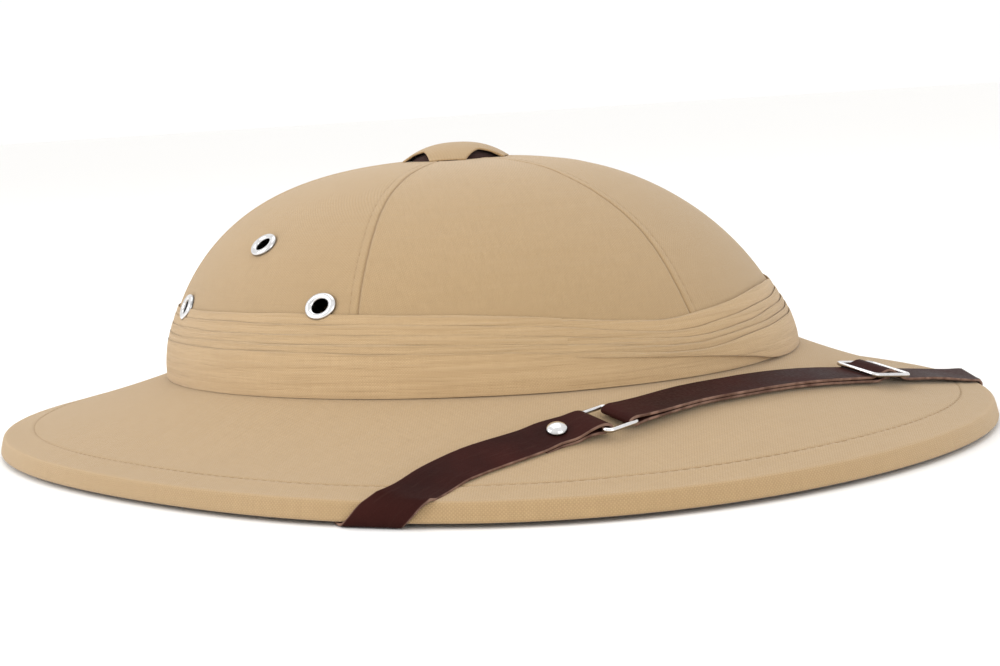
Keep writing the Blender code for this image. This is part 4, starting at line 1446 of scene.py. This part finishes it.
def skewed(along, normal, roll, skew):
    """Direction across the strap towards the crown, skewed in its plane and rolled about its length."""
    skew, roll = math.radians(skew), math.radians(roll)
    inward = normal.cross(along).normalized()
    across = inward * math.cos(skew) - along * math.sin(skew)
    return across * math.cos(roll) + normal * math.sin(roll)


def route_frame(at, lift):
    """Middle, inward cross direction, half width, face normal and length direction over the brim."""
    here, along, normal, roll, skew = route_axes(at)
    across = skewed(along, normal, roll, skew)
    for buckle, gap, aim in ((RING_AT, RING_SPAN, RING_SKEW_FROM), (SLIDE_AT, SLIDE_SPAN, 0)):
        share = clamp(2.2 - 2 * abs(at - buckle) / gap)
        if share > 0:
            across = across.lerp(skewed(*route_axes(buckle + aim)[1:]), share).normalized()
    half = STRAP_WIDTH / 2 / along.cross(across).length
    return here + normal * lift, across, half, normal, along


def over_brim(start, end, lifts):
    """Stations of one layer of the strap between two distances from the right rim."""
    count = round(abs(end - start) / STATION_PITCH)
    marks = [lerp(start, end, i / count) for i in range(count + 1)]
    return [route_frame(at, smooth(lifts, at)[0])[:3] for at in marks]


def fold_round(bar, way):
    """Stations of the fold round a ring bar; way is +1 where the fold bulges to the wearer's left."""
    stations = []
    for k in range(1, 12):
        a = math.radians(90 - 15 * k)
        middle, across, half, _, along = route_frame(bar, RING_LIFT + FOLD_RADIUS * math.sin(a))
        stations.append((middle + along * (way * FOLD_REACH * math.cos(a)), across, half))
    return stations


def rim_crossing(side):
    """How far from the front the strap crosses the rim; side is 1 on the right and -1 on the left."""
    return RIGHT_RIM_TURN if side > 0 else -LEFT_RIM_TURN


def round_rim(side):
    """Stations of the strap from the ridge of the rim to its anchor under the brim."""
    crossing = rim_crossing(side)
    degree = (rim_point(side * crossing, 0, 0) - rim_point(side * (crossing + 1), 0, 0)).length
    stations = []
    half = STRAP_WIDTH / 2 / math.sin(math.radians(RIM_CROSSING_ANGLE))
    for i in range(RIM_STATIONS):
        along = lerp(ROUND_RIM[0].along, ROUND_RIM[-1].along, i / (RIM_STATIONS - 1))
        inset, height = smooth(ROUND_RIM, along)
        turn = side * (crossing + along / degree)
        stations.append((rim_point(turn, inset, height), rim_tangent(turn) * side, half))
    for i in range(UNDER_STATIONS):
        past = lerp(UNDER_BRIM[0].past, UNDER_BRIM[-1].past, i / (UNDER_STATIONS - 1))
        stations.append(under_frame(side, past)[:3])
    return stations


def under_frame(side, past):
    """Middle, outward cross direction, half width and face normal of the strap under the brim."""
    out, skew = smooth(UNDER_BRIM, past)
    ahead_out = smooth(UNDER_BRIM, past + 0.3)[0]
    turn = side * (rim_crossing(side) + past)
    normal = -outward(brim_point, turn, out)
    drop = SHELL_WALL + STRAP_BED + SEAT_GAP
    here = brim_point(turn, out) + normal * drop
    ahead = brim_point(turn + side * 0.3, ahead_out) + normal * drop
    along = (ahead - here).normalized()
    outside = along.cross(normal).normalized() * side
    skew = math.radians(skew)
    across = outside * math.cos(skew) + along * math.sin(skew)
    return here, across, STRAP_WIDTH / 2 / math.cos(skew), normal


def make_strap(name, stations, finish, node):
    """A flat strip laid along its stations, given its thickness and its rounded edges."""
    strap, marks = drawn_sheet(name, len(stations), len(ACROSS_STRAP))
    lengths = run_lengths([middle for middle, _, _ in stations])

    def form(column, row):
        middle, across, half = stations[column]
        return middle + across * (half * ACROSS_STRAP[row])

    def leather(column, row, _):
        return lengths[column], ACROSS_STRAP[row] * STRAP_WIDTH / 2

    settle(strap, marks, form)
    map_form(strap, "strap", marks, leather)
    modify(strap, "SOLIDIFY", thickness=STRAP_THICKNESS, offset=0, use_even_offset=False)
    face_out(strap)
    round_edges(strap, 0.00028, 60)
    dress(strap, finish, node, slot="brown_leather")
    shade(strap, 50)


def right_stations():
    """The right strap: from its anchor round the rim to the ring, folded and run back to its end."""
    stations = round_rim(1)[::-1]
    stations += over_brim(0, RIGHT_BAR, RIGHT_LIFTS)
    stations += fold_round(RIGHT_BAR, 1)
    tail = (
        Lift(TAIL_END, STRAP_BED + 0.0001),
        Lift(STUD_AT - 0.0036, STRAP_BED + 0.0004),
        Lift(STUD_AT + 0.0036, STRAP_BED + 0.0008),
        Lift(RIGHT_BAR - 0.0040, RING_LIFT - FOLD_RADIUS + 0.0003),
        Lift(RIGHT_BAR, RING_LIFT - FOLD_RADIUS),
    )
    return stations + over_brim(RIGHT_BAR, TAIL_END, tail)


def left_stations():
    """The left strap: from its anchor through the slide to the ring, folded and run back to the slide."""
    stations = round_rim(-1)[::-1]
    stations += over_brim(ROUTE_LENGTH, LEFT_BAR, LEFT_LIFTS)
    stations += fold_round(LEFT_BAR, -1)
    under_bar = BAR_LIFT - SLIDE_BAR - STRAP_BED
    back = (
        Lift(LEFT_BAR, RING_LIFT - FOLD_RADIUS),
        Lift(LEFT_BAR + 0.0040, RING_LIFT - FOLD_RADIUS + 0.0005),
        Lift(LEFT_BAR + 0.0140, STRAP_BED + 0.0012),
        Lift(LEFT_BAR + 0.0340, STRAP_BED + 0.0006),
        Lift(0.150, STRAP_BED + 0.0004),
        Lift(SLIDE_AT - 0.0050, STRAP_BED + 0.0003),
        Lift(SLIDE_AT - 0.0010, under_bar),
        Lift(SLIDE_AT + 0.0010, under_bar),
    )
    return stations + over_brim(LEFT_BAR, SLIDE_AT + 0.0010, back)


# Ring, slide, stud and rivets

WIRE_SEGMENTS = 40


def wire_frame(name, half_width, span_along, wire, place):
    """A rectangle of round wire: a torus turned half a segment, whose quarters are moved apart."""
    clear_selection()
    bpy.ops.mesh.primitive_torus_add(
        major_radius=BEND_RADIUS,
        minor_radius=wire,
        major_segments=WIRE_SEGMENTS,
        minor_segments=16,
    )
    piece = named(name)
    piece.data.transform(Matrix.Rotation(math.pi / WIRE_SEGMENTS, 4, "Z"))
    edit(piece)
    for axis, reach in ((0, half_width), (1, span_along / 2)):
        for sign in (1, -1):
            select_where(piece, lambda spot: spot[axis] * sign > 0)
            bpy.ops.transform.translate(value=move_along(axis, sign * (reach - BEND_RADIUS)))
    bpy.ops.object.mode_set(mode="OBJECT")
    piece.data.transform(place)
    return piece


def buckle_frame(at, lift):
    """Frame of a buckle on the strap: X along its bars, Z off the brim."""
    middle, across, _, _, along = route_frame(at, lift)
    return stand(middle, along.cross(across), across)


def make_ring(finish):
    """The rectangular ring between the two halves of the strap."""
    half = STRAP_WIDTH / 2 + RING_CLEAR + RING_WIRE
    place = buckle_frame(RING_AT, RING_LIFT)
    ring = wire_frame("chrome_ring", half, RING_SPAN, RING_WIRE, place)
    lay_foot_shade(ring, place, -0.0007, 0.0002)
    dress(ring, finish, "strap_ring", slot="chrome")
    shade(ring, 60)


def make_slide(finish):
    """The three-bar slide that sets the strap's length."""
    half = STRAP_WIDTH / 2 / math.cos(math.radians(SLIDE_SKEW)) + SLIDE_CLEAR + SLIDE_BAR
    place = buckle_frame(SLIDE_AT, BAR_LIFT)
    outer = wire_frame("slide_outer", half, SLIDE_SPAN, SLIDE_BAR, place)
    clear_selection()
    bpy.ops.mesh.primitive_cylinder_add(vertices=16, radius=SLIDE_BAR * 0.9, depth=2 * half)
    bar = named("slide_bar")
    bar.data.transform(place @ Matrix.Rotation(math.pi / 2, 4, "Y"))
    slide = join("chrome_slide", [outer, bar])
    lay_foot_shade(slide, place, -0.0006, 0.0002)
    dress(slide, finish, "strap_slide", slot="chrome")
    shade(slide, 60)


def dome(name, radius, rise, place):
    """A low dome with a rounded rim, cut from a flattened sphere just under its widest ring."""
    foot = rise * 0.12
    clear_selection()
    bpy.ops.mesh.primitive_uv_sphere_add(segments=48, ring_count=32, radius=radius, enter_editmode=True)
    piece = named(name)
    bpy.ops.transform.resize(value=(1, 1, rise / radius), center_override=(0, 0, 0))
    bpy.ops.mesh.bisect(
        plane_co=(0, 0, -foot),
        plane_no=(0, 0, 1),
        clear_inner=True,
        use_fill=True,
        threshold=0.00001,
    )
    bpy.ops.object.mode_set(mode="OBJECT")
    piece.data.transform(place @ Matrix.Translation((0, 0, foot + 0.0001)))
    return piece


def stud_frame():
    """Seat of the stud on the strap's upper face."""
    places = [STUD_AT - STUD_RADIUS, STUD_AT, STUD_AT + STUD_RADIUS]
    (start, *_), (middle, across, *_), (end, *_) = [
        route_frame(at, smooth(RIGHT_LIFTS, at)[0]) for at in places]
    face = (end - start).cross(across).normalized()
    return stand(middle + face * (STRAP_THICKNESS / 2), face)


def make_studs(finish):
    """The domed stud on the folded end, and the plain rivets under the brim."""
    seat = stud_frame()
    stud = dome("chrome_stud", STUD_RADIUS, STUD_RISE, seat)
    lay_foot_shade(stud, seat, 0.0003, 0.0012)
    dress(stud, finish, "strap_stud", slot="chrome")
    shade(stud, 50)
    for side, name in ((1, "right"), (-1, "left")):
        past = UNDER_BRIM[-1].past - math.degrees(RIVET_BACK / CROWN_HALF_LENGTH)
        middle, _, _, normal = under_frame(side, past)
        seat = stand(middle + normal * (STRAP_THICKNESS / 2), normal)
        rivet = dome("chrome_rivet_" + name, RIVET_RADIUS, RIVET_RISE, seat)
        lay_foot_shade(rivet, seat, 0.0001, 0.0006)
        dress(rivet, finish, "strap_rivet_" + name, slot="chrome")
        shade(rivet, 50)


# The whole helmet

stand_camera()
light_studio()
lay_floor()
khaki = cloth_finish("khaki_cotton", (0.425, 0.287, 0.146))
# The band is the same cloth as the crown's; its lighter colour is painted light, for the band's face lit
# more than the crown
band_cotton = cloth_finish(
    "band_cotton",
    (0.500, 0.345, 0.186),
    thread=0.00047,
    relief=0.00010,
    wrinkles=0.0008,
    gathers=0.0007,
)
thread_cotton = cloth_finish("sewing_thread", (0.39, 0.262, 0.132), thread=0.0003)
maroon = cloth_finish("maroon_lining", (0.030, 0.009, 0.007), sheen=0.05)
leather = leather_finish("brown_leather_smooth", (0.028, 0.0076, 0.0062), (0.26, 0.16, 0.12))
chrome = chrome_finish("chrome_plate")

make_shell(khaki)
sew("crown_stitching", seam_stitches(), thread_cotton)
sew("brim_stitching", brim_stitches(), thread_cotton)
make_band(band_cotton)
make_cap(khaki, maroon)
make_collar(maroon)
make_eyelets(chrome)
make_strap("leather_strap_right", right_stations(), leather, "strap_right")
make_strap("leather_strap_left", left_stations(), leather, "strap_left")
make_ring(chrome)
make_slide(chrome)
make_studs(chrome)
